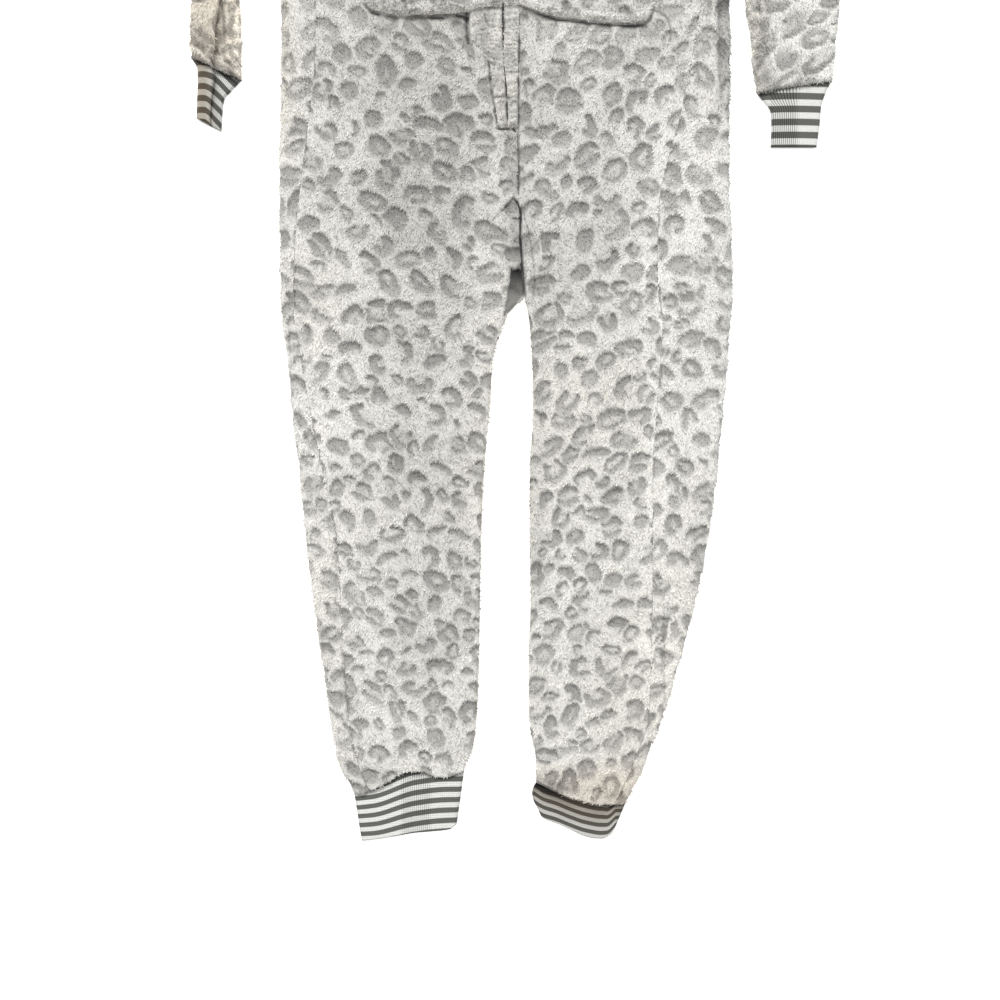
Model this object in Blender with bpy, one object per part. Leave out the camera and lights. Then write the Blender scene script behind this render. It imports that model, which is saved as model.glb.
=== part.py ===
# Plush onesie pajama, laid flat on its back with the front up.
#
# Right and left are the wearer's: the right half lies at -X, the neck at +Y and the feet at -Y.
# The tables are in millimetres. Their x = 0 is the centre back seam at the waist, and their y = 0 is a
# level just above the pocket's lower edge. The last step moves everything so that the origin is the
# middle of the bounding box's underside.
#
# Every piece of cloth is a wall. It is a grid of places, row by row and column by column, and each place is
# a point on the outer surface with the point behind it on the inner surface.

import math
from collections import namedtuple

import bmesh
import bpy
from mathutils import Matrix, Vector

MM = 0.001

# The cloth
PLUSH_WALL = 4.0        # knitted ground and pile
RIB_WALL = 2.4
BODY_THICKNESS = 11.0   # front and back lying on each other, 3 mm apart
HEM_THICKNESS = 9.6     # where a leg or a sleeve meets its cuff
HEM_REACH = 50.0        # over which a leg comes down to it
ANKLE_REACH = 75.0      # over which a leg's rows take on the curve of the cuff's seam
CUFF_THICKNESS = 7.8
SEAM_GAP = 0.3          # between two pieces at a seam
CUFF_GAP = 0.6          # between a cuff and the plush that it is sewn to, whose curves are faceted
LAYER_GAP = 0.3         # between a piece and the one that it is sewn onto

# The upper body
UNDERARM_Y = 190.0
UNDERARM_X = 270.0
SHOULDER_X = 238.0
SHOULDER_Y = 402.0
NECK_X = 88.0           # from the centre to the neck end of the shoulder seam
NECK_Y = 470.0
FRONT_NECK_Y = 385.0
BACK_NECK_Y = 452.0
ARMHOLE_ROWS = 4
CROTCH_Y = -356.0

# The zip
ZIP_OPENING = 5.2       # from the zip's line to the plush on each side
ZIP_TOP_Y = 383.0
ZIP_BOTTOM_Y = -140.0
OPENING_END_Y = -143.0  # below it the two fronts meet at a seam
TAPE_WIDTH = 14.0
TAPE_Z = 6.0
TAPE_WALL = 0.7
COIL_WIDTH = 2.5
COIL_HEIGHT = 2.3
OPEN_SPREAD = 2.2       # from the zip's line to each coil, above the slider
SPREAD_FROM = 1.0       # the coils part between these heights above the slider's middle
SPREAD_TO = 4.0
GUARD_WALL = 3.0
POCKET_WALL = 4.0
POCKET_TOP_Y = 175.0
POCKET_CLEAR = 1.4      # from the zip's line to each half of the pocket

# The slider and its pull tab
SLIDER_Y = 364.0
SLIDER_WIDTH = 8.8
SLIDER_LENGTH = 12.0
SLIDER_PLATE = 1.1
SLIDER_TOP_Z = 9.4      # underside of the top plate
SLIDER_BOTTOM_Z = 4.5   # underside of the bottom plate
SLIDER_BEVEL = 0.35
POST_WIDTH = 2.2
POST_LENGTH = 1.7
POST_INSET = 0.5        # from the slider's end
BRIDGE_WIDTH = 2.4
BRIDGE_LENGTH = 5.6
BRIDGE_WINDOW = 3.2
BRIDGE_HEIGHT = 4.0
BRIDGE_ROOF = 1.0
PULL_Z = 12.0           # height of the hinge axis, along X
PULL_WIDTH = 7.0
PULL_LENGTH = 25.0
PULL_WALL = 1.5
PULL_BEVEL = 0.3
PULL_WINDOW = (3.4, 4.0)
GRIP_SLOT = (2.8, 6.5)
GRIP_FROM_END = 2.5
JOIN = 0.4              # how far joined blocks run into each other

# Shares of a panel's width at which its columns stand. NECK_COLUMN is at the neck end of the shoulder.
COLUMN_SHARES = (0.0, 0.12, 0.25, NECK_X / SHOULDER_X, 0.57, 0.79, 1.0)
NECK_COLUMN = 3
ROLL_STEPS = 3          # quarter roll at an inseam
EDGE_STEPS = 5          # half roll at the outer edge
SHOULDER_STEPS = 2
END_STEPS = 4           # half roll at each end of a flattened tube
LEG_CUFF_ROWS = 4
SHARP_ANGLE = 50        # degrees between faces, from which an edge stays sharp

# One row for each section of a half. outer: the outermost point. side_seam: where the back, which wraps
# round the outer edge, meets the front on top. front_edge and back_edge: the centre seams above the crotch,
# the inner edge of the leg below it.
Section = namedtuple("Section", "y outer side_seam front_edge back_edge")

RIGHT_SECTIONS = (
    Section(190, -270.0, -260.5, 0.0, 0.0),
    Section(90, -271.5, -246.0, -2.5, 0.0),
    Section(0, -272.4, -229.0, -4.8, 0.0),
    Section(-80, -272.4, -231.0, -4.5, 1.0),
    Section(OPENING_END_Y, -272.8, -238.0, 0.6, 4.0),
    Section(-165, -273.5, -240.5, 13.0, 6.0),
    Section(-240, -274.8, -250.0, 14.0, 12.0),
    Section(-300, -274.0, -255.0, 17.0, 17.0),
    Section(CROTCH_Y, -272.4, -257.0, 20.4, 20.4),
    Section(-380, -270.0, -256.0, -1.2, -1.2),
    Section(-428, -263.5, -248.0, -16.8, -16.8),
    Section(-484, -258.6, -238.0, -20.4, -20.4),
    Section(-566, -249.0, -221.0, -27.6, -27.6),
    Section(-649, -241.0, -204.0, -31.2, -31.2),
    Section(-716, -232.5, -200.0, -32.4, -32.4),
    Section(-790, -222.0, -196.0, -33.6, -33.6),
    Section(-862, -211.5, -190.0, -36.5, -36.5),
    Section(-905, -203.0, -180.0, -41.0, -41.0),
    Section(-940, -184.0, -165.0, -51.6, -51.6),
)

LEFT_SECTIONS = (
    Section(190, 270.0, 260.5, 0.0, 0.0),
    Section(90, 269.5, 249.0, -2.5, 0.0),
    Section(0, 268.8, 234.0, -4.8, 0.0),
    Section(-80, 268.8, 220.0, -4.5, 1.0),
    Section(OPENING_END_Y, 268.6, 207.0, 0.6, 4.0),
    Section(-165, 268.4, 201.0, 13.0, 6.0),
    Section(-240, 268.5, 183.0, 14.0, 12.0),
    Section(-300, 271.8, 180.5, 17.0, 17.0),
    Section(CROTCH_Y, 271.5, 182.0, 21.4, 21.4),
    Section(-380, 270.0, 187.0, 26.0, 26.0),
    Section(-428, 266.5, 185.0, 30.0, 30.0),
    Section(-493, 260.6, 180.0, 31.5, 31.5),
    Section(-566, 253.5, 175.0, 27.2, 27.2),
    Section(-649, 242.0, 175.0, 27.6, 27.6),
    Section(-716, 228.5, 174.5, 28.2, 28.2),
    Section(-790, 209.0, 173.0, 26.4, 26.4),
    Section(-862, 187.5, 170.0, 26.4, 26.4),
    Section(-912, 166.5, 152.0, 34.0, 34.0),
    Section(-955, 142.0, 128.0, 35.0, 35.0),
)

# Across a leg: the seam between its plush and its cuff, or the cuff's lower edge. A line between two ends,
# raised by arch in its middle.
CrossLine = namedtuple("CrossLine", "outer_x outer_y inner_x inner_y arch")

RIGHT_ANKLE_SEAM = CrossLine(-184.0, -951.6, -51.6, -925.2, 6.0)
RIGHT_CUFF_HEM = CrossLine(-175.0, -1009.0, -60.5, -990.0, 1.5)
LEFT_ANKLE_SEAM = CrossLine(142.0, -965.5, 35.0, -943.0, -7.0)
LEFT_CUFF_HEM = CrossLine(131.0, -994.0, 39.0, -974.0, -17.0)

# One row for each section of a sleeve, from the armhole to the wrist. inner and outer: its two edges,
# x counted away from the centre. fold: how far its outer part is folded over onto the rest.
SleeveSection = namedtuple("SleeveSection", "inner_x inner_y outer_x outer_y fold thickness")

ARMHOLE_CLEAR = 0.3
LEFT_SLEEVE = (
    SleeveSection(UNDERARM_X + ARMHOLE_CLEAR, 190, SHOULDER_X + ARMHOLE_CLEAR, 402, 0, 11.0),
    SleeveSection(273.5, 186, 284, 373, 0, 11.0),
    SleeveSection(276.5, 176, 324, 331, 0, 11.0),
    SleeveSection(279.5, 150, 356, 273, 0, 11.0),
    SleeveSection(281.5, 108, 379, 200, 0, 11.0),
    SleeveSection(284.0, 56, 394, 104, 0, 11.0),
    SleeveSection(285.6, 0, 400.8, 0, 0, 11.0),
    SleeveSection(291.5, -44, 397.0, -40, 0, 11.0),
    SleeveSection(295.0, -86, 394.0, -73, 0, 10.6),
    SleeveSection(300.5, -111, 390.6, -96, 0, HEM_THICKNESS),
)
RIGHT_SLEEVE = (
    SleeveSection(UNDERARM_X + ARMHOLE_CLEAR, 190, SHOULDER_X + ARMHOLE_CLEAR, 402, 0, 11.0),
    SleeveSection(274.5, 186, 283, 373, 0, 11.0),
    SleeveSection(279.5, 176, 321, 331, 3, 11.0),
    SleeveSection(286.5, 150, 348, 273, 9, 11.0),
    SleeveSection(298.0, 108, 365, 198, 18, 11.0),
    SleeveSection(311.0, 54, 374, 100, 31, 11.0),
    SleeveSection(320.5, 0, 378.4, 0, 43, 11.0),
    SleeveSection(318.5, -48, 381.0, -36, 41, 11.0),
    SleeveSection(319.0, -95, 378.6, -70, 36, HEM_THICKNESS),
)
LEFT_SLEEVE_CUFF = (
    SleeveSection(301.5, -112, 390.0, -97, 0, CUFF_THICKNESS),
    SleeveSection(309.0, -122, 382.8, -112, 0, CUFF_THICKNESS),
    SleeveSection(317.0, -133, 378.2, -127, 0, CUFF_THICKNESS),
    SleeveSection(318.0, -150, 376.4, -148, 0, CUFF_THICKNESS),
    SleeveSection(317.0, -176, 372.6, -176, 0, CUFF_THICKNESS),
)
RIGHT_SLEEVE_CUFF = (
    SleeveSection(320.5, -96.5, 377.6, -71.8, 33, CUFF_THICKNESS),
    SleeveSection(331.0, -108, 371.4, -84, 30, CUFF_THICKNESS),
    SleeveSection(340.5, -120, 371.6, -102, 27, CUFF_THICKNESS),
    SleeveSection(342.5, -138, 372.4, -120, 26, CUFF_THICKNESS),
    SleeveSection(343.5, -157, 373.0, -142, 25, CUFF_THICKNESS),
)
FOLD_CLEARANCE = 1.6    # between a folded tube's two halves

# Zip line and guards: x of the zip, of each guard's edge nearest the zip, and of its far edge
ZipRow = namedtuple("ZipRow", "y line right_near right_far left_near left_far")

ZIP_ROWS = (
    ZipRow(ZIP_TOP_Y, 0.0, -6.0, -24.0, 6.0, 22.0),
    ZipRow(340, -0.2, -5.6, -24.0, 5.2, 21.5),
    ZipRow(320, -0.4, -2.2, -23.5, 1.6, 21.0),
    ZipRow(190, -1.6, -3.4, -24.0, 0.4, 19.0),
    ZipRow(90, -3.4, -5.2, -25.0, -1.6, 16.5),
    ZipRow(20, -4.8, -6.6, -27.0, -3.2, 15.0),
    ZipRow(-4, -4.8, -6.4, -45.6, -3.2, 14.4),
    ZipRow(-54, -4.8, -6.2, -44.5, -3.0, 13.6),
    ZipRow(-72, -4.6, -5.6, -21.6, -3.0, 13.4),
    ZipRow(-96, -2.0, -3.4, -18.0, -0.6, 13.2),
    ZipRow(-116, 0.0, -1.2, -15.6, 1.0, 13.2),
    ZipRow(ZIP_BOTTOM_Y, 0.6, -0.6, -12.2, 1.6, 13.2),
    ZipRow(-154, 0.6, -0.4, -10.6, 1.6, 13.2),
)

# Pocket halves: the lower edge from the zip outwards, and the hand opening's edge from its foot to its head
RIGHT_POCKET_HEM = ((-6.0, -8), (-32, -9.6), (-48, -15.6), (-71, -17), (-104, -17), (-116, -19.5),
                    (-150, -14.4), (-163, -11), (-171.6, 2))
LEFT_POCKET_HEM = ((-3.6, -7), (14.4, -7), (31, -12), (60, -20), (103, -25), (139, -27.6), (160, -26),
                   (170, -20), (174.5, -2))
POCKET_SIDE = ((0.0, 1.0), (0.32, 1.0), (0.6, 0.84), (1.0, 0.55))  # share of the height, share of the width
POCKET_ROWS = (0.0, 0.06, 0.32, 0.6, 1.0)
POCKET_COLUMNS = (0.0, 0.13, 0.26, 0.42, 0.62, 0.82, 0.94, 1.0)
RIGHT_POCKET_RAMP = (54.0, 78.0)  # from the zip: the pocket comes down off the guard between these
LEFT_POCKET_RAMP = (30.0, 54.0)

# Broad troughs in the upper layer: from, to, half width, depth
Trough = namedtuple("Trough", "x0 y0 x1 y1 half_width depth")
TROUGHS = (
    Trough(-20, -200, -70, -330, 40, 1.6),
    Trough(-45, -560, -95, -690, 40, 1.8),
    Trough(-200, -60, -170, -250, 45, 1.4),
    Trough(90, -690, 140, -800, 40, 1.8),
    Trough(120, -250, 90, -420, 45, 1.4),
    Trough(200, -20, 230, -200, 35, 1.6),
    Trough(-110, 250, -60, 330, 45, 1.5),
    Trough(110, 240, 70, 320, 45, 1.5),
)
TROUGH_CLEAR_OF_ZIP = 30.0

Look = namedtuple("Look", "colour roughness metallic")
PLUSH = Look((0.72, 0.70, 0.67), 0.95, 0.0)
RIB = Look((0.45, 0.45, 0.43), 0.9, 0.0)
ZIP_CLOTH = Look((0.35, 0.35, 0.34), 0.8, 0.0)
METAL = Look((0.62, 0.62, 0.62), 0.3, 1.0)


def between(low, high, share):
    return low + (high - low) * share


def read_table(points, x):
    """The value at x of a line through points, which are sorted by x in either direction."""
    ordered = sorted(points)
    if x <= ordered[0][0]:
        return ordered[0][1]
    for (x0, y0), (x1, y1) in zip(ordered, ordered[1:]):
        if x <= x1:
            return between(y0, y1, (x - x0) / (x1 - x0))
    return ordered[-1][1]


def smoothstep(low, high, value):
    share = min(max((value - low) / (high - low), 0.0), 1.0)
    return share * share * (3.0 - 2.0 * share)


def trough_depth(x, y):
    """How far the upper layer dips at x, y."""
    depth = 0.0
    for trough in TROUGHS:
        run = Vector((trough.x1 - trough.x0, trough.y1 - trough.y0))
        offset = Vector((x - trough.x0, y - trough.y0))
        along = min(max(offset.dot(run) / run.length_squared, 0.0), 1.0)
        distance = (offset - run * along).length
        depth = max(depth, trough.depth * (1.0 - smoothstep(0.0, trough.half_width, distance)))
    return depth * smoothstep(TROUGH_CLEAR_OF_ZIP, 2.0 * TROUGH_CLEAR_OF_ZIP, abs(x))


def new_object(name, mesh, material, collection):
    obj = bpy.data.objects.new(name, mesh)
    collection.objects.link(obj)
    mesh.materials.append(material)
    return obj


def new_material(name, look):
    material = bpy.data.materials.new(name)
    material.use_nodes = True
    shader = material.node_tree.nodes["Principled BSDF"]
    shader.inputs["Base Color"].default_value = (*look.colour, 1.0)
    shader.inputs["Roughness"].default_value = look.roughness
    shader.inputs["Metallic"].default_value = look.metallic
    return material


def place(point, normal, wall):
    """A place of a wall: the point on its outer surface, and the one behind it."""
    return [point, point - normal * wall]


def cloth_object(name, grid, look, collection, closed=False):
    """A wall from a grid of places, where None leaves one empty."""
    bm = bmesh.new()
    rows = len(grid)
    columns = len(grid[0])
    faces = []
    for row in range(rows - 1):
        for column in range(columns if closed else columns - 1):
            corners = [(row, column), (row, (column + 1) % columns),
                       (row + 1, (column + 1) % columns), (row + 1, column)]
            if all(grid[r][c] is not None for r, c in corners):
                faces.append(corners)
    outside = {}
    inside = {}
    edge_count = {}
    for corners in faces:
        for r, c in corners:
            if (r, c) not in outside:
                outer_point, inner_point = grid[r][c]
                outside[r, c] = bm.verts.new(outer_point * MM)
                inside[r, c] = bm.verts.new(inner_point * MM)
        for start, end in zip(corners, corners[1:] + corners[:1]):
            edge_count.setdefault(frozenset((start, end)), []).append((start, end))
    for corners in faces:
        bm.faces.new([outside[corner] for corner in corners])
        bm.faces.new([inside[corner] for corner in reversed(corners)])
    for sides in edge_count.values():
        if len(sides) == 1:
            start, end = sides[0]
            bm.faces.new([outside[end], outside[start], inside[start], inside[end]])
    bmesh.ops.recalc_face_normals(bm, faces=bm.faces)
    mesh = bpy.data.meshes.new(name)
    bm.to_mesh(mesh)
    bm.free()
    mesh.shade_smooth()
    mesh.set_sharp_from_angle(angle=math.radians(SHARP_ANGLE))
    return new_object(name, mesh, new_material(name, look), collection)


# ---- fronts and backs -------------------------------------------------------------------------------------

def armhole_x(share):
    return between(UNDERARM_X, SHOULDER_X, share)


def shoulder_y(x):
    return between(NECK_Y, SHOULDER_Y, (x - NECK_X) / (SHOULDER_X - NECK_X))


def top_edge_y(x, neck_y, power):
    """The neckline inside NECK_X, the shoulder seam outside it."""
    x = abs(x)
    if x >= NECK_X - 0.01:
        return shoulder_y(x)
    return neck_y + (NECK_Y - neck_y) * (x / NECK_X) ** power


def shoulder_out(side):
    """Across the shoulder seam, up and away."""
    run = Vector((SHOULDER_X - NECK_X, SHOULDER_Y - NECK_Y)).normalized()
    return Vector((-run.y * side, run.x, 0.0))


def thickness_at(y, ankle_y):
    return between(HEM_THICKNESS, BODY_THICKNESS, smoothstep(ankle_y, ankle_y + HEM_REACH, y))


def cross_line_y(line, share):
    """share is 0 at the line's inner end and 1 at its outer end."""
    return between(line.inner_y, line.outer_y, share) + 4.0 * line.arch * share * (1.0 - share)


def ankle_shift(seam, x, y, ankle_y):
    """A row near the ankle takes on the curve of the cuff's seam."""
    blend = smoothstep(ankle_y + ANKLE_REACH, ankle_y, y)
    share = (x - seam.inner_x) / (seam.outer_x - seam.inner_x)
    return blend * (cross_line_y(seam, share) + CUFF_GAP - ankle_y)


def on_top(x, y, thickness):
    return Vector((x, y, thickness - trough_depth(x, y)))


def lower_rows(side, sections, seam, is_front):
    """Rows from the underarm to the ankle."""
    ankle_y = sections[-1].y
    up = Vector((0, 0, 1))
    rows = []
    for section in sections:
        thickness = thickness_at(section.y, ankle_y)
        radius = thickness / 2.0
        roll = radius - SEAM_GAP / 2.0
        in_leg = section.y <= CROTCH_Y
        edge = section.front_edge if is_front else section.back_edge
        layer_up = up if is_front else -up
        row = []
        for step in range(ROLL_STEPS):
            angle = math.radians(90.0 * (1.0 - step / ROLL_STEPS))
            normal = Vector((-side * math.sin(angle), 0, 0)) + layer_up * math.cos(angle)
            centre = Vector((edge + side * roll, section.y, radius)) + layer_up * (SEAM_GAP / 2.0)
            row.append(place(centre + normal * roll, normal, PLUSH_WALL) if in_leg else None)
        if in_leg:
            start = edge + side * roll
        elif is_front and section.y >= OPENING_END_Y:
            start = edge + side * ZIP_OPENING
        else:
            start = edge + side * SEAM_GAP / 2.0
        if is_front:
            end = section.side_seam - side * SEAM_GAP / 2.0
        else:
            end = section.outer - side * radius
        for share in COLUMN_SHARES:
            x = between(start, end, share)
            if is_front:
                row.append(place(on_top(x, section.y, thickness), up, PLUSH_WALL))
            else:
                row.append(place(Vector((x, section.y, 0.0)), -up, PLUSH_WALL))
        if not is_front:
            centre = Vector((section.outer - side * radius, section.y, radius))
            for step in range(1, EDGE_STEPS + 1):
                angle = math.pi * step / EDGE_STEPS
                normal = Vector((side * math.sin(angle), 0, -math.cos(angle)))
                row.append(place(centre + normal * radius, normal, PLUSH_WALL))
            x = section.side_seam + side * SEAM_GAP / 2.0
            row.append(place(on_top(x, section.y, thickness), up, PLUSH_WALL))
        for point in [point for pair in row if pair for point in pair]:
            point.y += ankle_shift(seam, point.x, section.y, ankle_y)
        rows.append(row)
    return rows


def upper_rows(side, is_front, width):
    """Rows from the neck and the shoulder down to the underarm, the shoulder's roll first."""
    up = Vector((0, 0, 1)) if is_front else Vector((0, 0, -1))
    neck_y, power = (FRONT_NECK_Y, 2.4) if is_front else (BACK_NECK_Y, 2.0)
    radius = BODY_THICKNESS / 2.0
    roll = radius - SEAM_GAP / 2.0
    out = shoulder_out(side)
    flat_z = BODY_THICKNESS if is_front else 0.0
    rows = []
    for step in range(ARMHOLE_ROWS):
        share = 1.0 - step / ARMHOLE_ROWS
        row = [None] * ROLL_STEPS
        for index, column in enumerate(COLUMN_SHARES):
            opening = ZIP_OPENING if is_front else SEAM_GAP / 2.0
            centre_x = side * opening + (ZIP_ROWS[0].line if is_front else 0.0)
            x = between(centre_x, side * (armhole_x(share) - SEAM_GAP / 2.0), column)
            top_y = top_edge_y(column * SHOULDER_X, neck_y, power)
            y = between(UNDERARM_Y, top_y, share)
            point = Vector((x, y, flat_z))
            if index >= NECK_COLUMN:
                point -= out * roll * smoothstep(0.5, 1.0, share)
            if is_front:
                point.z -= trough_depth(x, y)
            row.append(place(point, up, PLUSH_WALL))
        row += [None] * (width - len(row))
        rows.append(row)
    last = rows[0]
    for step in range(1, SHOULDER_STEPS + 1):
        angle = math.radians(90.0 * step / SHOULDER_STEPS)
        normal = out * math.sin(angle) + up * math.cos(angle)
        row = [None] * width
        for index in range(NECK_COLUMN, len(COLUMN_SHARES)):
            flat_point = last[ROLL_STEPS + index][0]
            centre = Vector((flat_point.x, flat_point.y, radius)) + up * (SEAM_GAP / 2.0)
            row[ROLL_STEPS + index] = place(centre + normal * roll, normal, PLUSH_WALL)
        rows.insert(0, row)
    return rows


def make_half(side, name, sections, seam, collection):
    for is_front, part in ((True, "front_"), (False, "back_")):
        lower = lower_rows(side, sections, seam, is_front)
        upper = upper_rows(side, is_front, len(lower[0]))
        cloth_object(part + name, upper + lower, PLUSH, collection)


# ---- sleeves and cuffs ------------------------------------------------------------------------------------

class Band:
    """A flattened tube seen end on: a straight run, then a bend upwards, then a run back above the first.

    The place at a distance along its middle and a height above that middle is given by at().
    """

    def __init__(self, run, fold, thickness):
        self.run = run
        self.bend = thickness / 2.0 + FOLD_CLEARANCE / 2.0
        half_turn = math.pi * self.bend
        self.angle = min(fold, half_turn) / self.bend
        self.back = max(0.0, fold - half_turn)
        self.thickness = thickness
        reach = self.bend + thickness / 2.0 if fold > 0 else 0.0
        self.straight = run - reach * math.sin(min(self.angle, math.pi / 2.0))
        self.length = self.straight + self.angle * self.bend + self.back

    def at(self, distance, height):
        """(across, up) of a place, and the direction of height there."""
        middle = self.thickness / 2.0
        if distance <= self.straight:
            return (distance, middle + height), (0.0, 1.0)
        turned = min((distance - self.straight) / self.bend, self.angle)
        centre = (self.straight, middle + self.bend)
        direction = (-math.sin(turned), math.cos(turned))
        beyond = max(0.0, distance - self.straight - self.angle * self.bend)
        radius = self.bend - height
        across = centre[0] - direction[0] * radius + math.cos(turned) * beyond
        above = centre[1] - direction[1] * radius + math.sin(turned) * beyond
        return (across, above), direction


def band_ring(band, shares, round_steps):
    """Places and outward normals round a band, as (across, up) pairs, starting on its underside."""
    radius = band.thickness / 2.0
    ring = []
    for share in shares[:-1]:
        spot, direction = band.at(between(radius, band.length - radius, share), -radius)
        ring.append((spot, (-direction[0], -direction[1])))
    for end, start_angle in ((band.length - radius, -90.0), (radius, 90.0)):
        centre, direction = band.at(end, 0.0)
        along = (direction[1], -direction[0])
        for step in range(round_steps):
            angle = math.radians(start_angle + 180.0 * step / round_steps)
            normal = tuple(a * math.cos(angle) + d * math.sin(angle) for a, d in zip(along, direction))
            ring.append(((centre[0] + normal[0] * radius, centre[1] + normal[1] * radius), normal))
        if start_angle < 0:
            ring += [band.at(between(radius, band.length - radius, share), radius) for share in shares[:0:-1]]
    return ring


def place_ring(side, section, ring, wall):
    """A ring on its section's line, which runs from the inner edge to the outer one."""
    start = Vector((side * section.inner_x, section.inner_y, 0.0))
    along = Vector((side * section.outer_x, section.outer_y, 0.0)) - start
    along.normalize()
    row = []
    for (across, above), (normal_across, normal_up) in ring:
        point = start + along * across + Vector((0, 0, above))
        row.append(place(point, along * normal_across + Vector((0, 0, normal_up)), wall))
    return row


def make_sleeve(side, name, sections, wall, look, flat_steps, collection):
    shares = [step / flat_steps for step in range(flat_steps + 1)]
    grid = []
    for section in sections:
        run = math.hypot(section.outer_x - section.inner_x, section.outer_y - section.inner_y)
        ring = band_ring(Band(run, section.fold, section.thickness), shares, END_STEPS)
        grid.append(place_ring(side, section, ring, wall))
    cloth_object(name, grid, look, collection, closed=True)


def make_leg_cuff(side, name, seam, hem, collection):
    grid = []
    for step in range(LEG_CUFF_ROWS + 1):
        down = step / LEG_CUFF_ROWS
        outer_x = between(seam.outer_x, hem.outer_x, down)
        inner_x = between(seam.inner_x, hem.inner_x, down)
        section = SleeveSection(side * inner_x, 0.0, side * outer_x, 0.0, 0, CUFF_THICKNESS)
        ring = band_ring(Band(abs(outer_x - inner_x), 0, CUFF_THICKNESS), COLUMN_SHARES, END_STEPS)
        row = place_ring(side, section, ring, RIB_WALL)
        for point in [point for pair in row for point in pair]:
            share = (point.x - inner_x) / (outer_x - inner_x)
            point.y = between(cross_line_y(seam, share), cross_line_y(hem, share), down)
        grid.append(row)
    cloth_object(name, grid, RIB, collection, closed=True)


# ---- zip, guards and pocket -------------------------------------------------------------------------------

def zip_line(y):
    return read_table([(row.y, row.line) for row in ZIP_ROWS], y)


def make_guard(name, near, far, collection):
    """A strip on the front, beside the zip, between the near and far columns of ZIP_ROWS."""
    up = Vector((0, 0, 1))
    top = BODY_THICKNESS + LAYER_GAP + GUARD_WALL
    grid = []
    for zip_row in ZIP_ROWS:
        near_x = getattr(zip_row, near)
        far_x = getattr(zip_row, far)
        points = [Vector((between(near_x, far_x, share), zip_row.y, top)) for share in (0.0, 0.5, 1.0)]
        grid.append([place(point, up, GUARD_WALL) for point in points])
    cloth_object(name, grid, PLUSH, collection)


def make_zip_tape(side, name, collection):
    """Half of the zip: a tape with its half of the coil, which spreads above the slider's post."""
    spread_from = SLIDER_Y + SPREAD_FROM
    spread_to = SLIDER_Y + SPREAD_TO
    levels = [row.y for row in ZIP_ROWS if ZIP_BOTTOM_Y <= row.y < spread_from]
    levels = [ZIP_TOP_Y, spread_to, spread_from] + levels
    profile = ((0.0, 0.0), (TAPE_WIDTH, 0.0), (TAPE_WIDTH, TAPE_WALL), (COIL_WIDTH, TAPE_WALL),
               (COIL_WIDTH, TAPE_WALL + COIL_HEIGHT), (0.0, TAPE_WALL + COIL_HEIGHT))
    bm = bmesh.new()
    rings = []
    for y in levels:
        spread = OPEN_SPREAD if y >= spread_to else SEAM_GAP / 2.0
        base = Vector((zip_line(y) + side * spread, y, TAPE_Z))
        rings.append([bm.verts.new((base + Vector((side * across, 0, above))) * MM) for across, above in profile])
    for ring, after in zip(rings, rings[1:]):
        for index in range(len(profile)):
            following = (index + 1) % len(profile)
            bm.faces.new((ring[index], ring[following], after[following], after[index]))
    bm.faces.new(rings[0])
    bm.faces.new(reversed(rings[-1]))
    bmesh.ops.recalc_face_normals(bm, faces=bm.faces)
    mesh = bpy.data.meshes.new(name)
    bm.to_mesh(mesh)
    bm.free()
    new_object(name, mesh, new_material(name, ZIP_CLOTH), collection)


def make_pocket(side, name, hem, ramp, collection):
    """Half of the kangaroo pocket, on the front and over the zip's guard."""
    up = Vector((0, 0, 1))
    low = BODY_THICKNESS + LAYER_GAP + POCKET_WALL
    high = low + GUARD_WALL + LAYER_GAP
    grid = []
    for share in POCKET_ROWS:
        row = []
        for column in POCKET_COLUMNS:
            hem_x = between(hem[0][0], hem[-1][0], column)
            hem_y = read_table(hem, hem_x)
            y = between(hem_y, POCKET_TOP_Y, share)
            near_x = zip_line(y) + side * POCKET_CLEAR
            far_x = near_x + (hem[-1][0] - hem[0][0]) * read_table(POCKET_SIDE, share)
            x = between(near_x, far_x, column)
            z = between(high, low, smoothstep(ramp[0], ramp[1], abs(x - near_x)))
            row.append(place(Vector((x, y, z)), up, POCKET_WALL))
        grid.append(row)
    cloth_object(name, grid, PLUSH, collection)


# ---- slider and pull tab ----------------------------------------------------------------------------------

def block(low, high, collection, name="block", bevel=0.0):
    """A box between two corners, in millimetres, with its edges rounded by bevel."""
    bm = bmesh.new()
    bmesh.ops.create_cube(bm, size=1.0)
    centre = [(a + b) / 2.0 for a, b in zip(low, high)]
    size = [b - a for a, b in zip(low, high)]
    matrix = Matrix.Translation(Vector(centre) * MM) @ Matrix.Diagonal((*[s * MM for s in size], 1.0))
    bmesh.ops.transform(bm, matrix=matrix, verts=bm.verts)
    if bevel > 0:
        bmesh.ops.bevel(bm, geom=list(bm.edges), offset=bevel * MM, segments=1, affect="EDGES")
    mesh = bpy.data.meshes.new(name)
    bm.to_mesh(mesh)
    bm.free()
    obj = bpy.data.objects.new(name, mesh)
    collection.objects.link(obj)
    return obj


def combine(base, others, operation):
    """Boolean of base with each of the others, which are removed afterwards."""
    for other in others:
        modifier = base.modifiers.new(operation.lower(), "BOOLEAN")
        modifier.operation = operation
        modifier.object = other
        bpy.context.view_layer.update()
        mesh = bpy.data.meshes.new_from_object(base.evaluated_get(bpy.context.evaluated_depsgraph_get()))
        base.modifiers.clear()
        base.data = mesh
        bpy.data.objects.remove(other)


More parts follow.
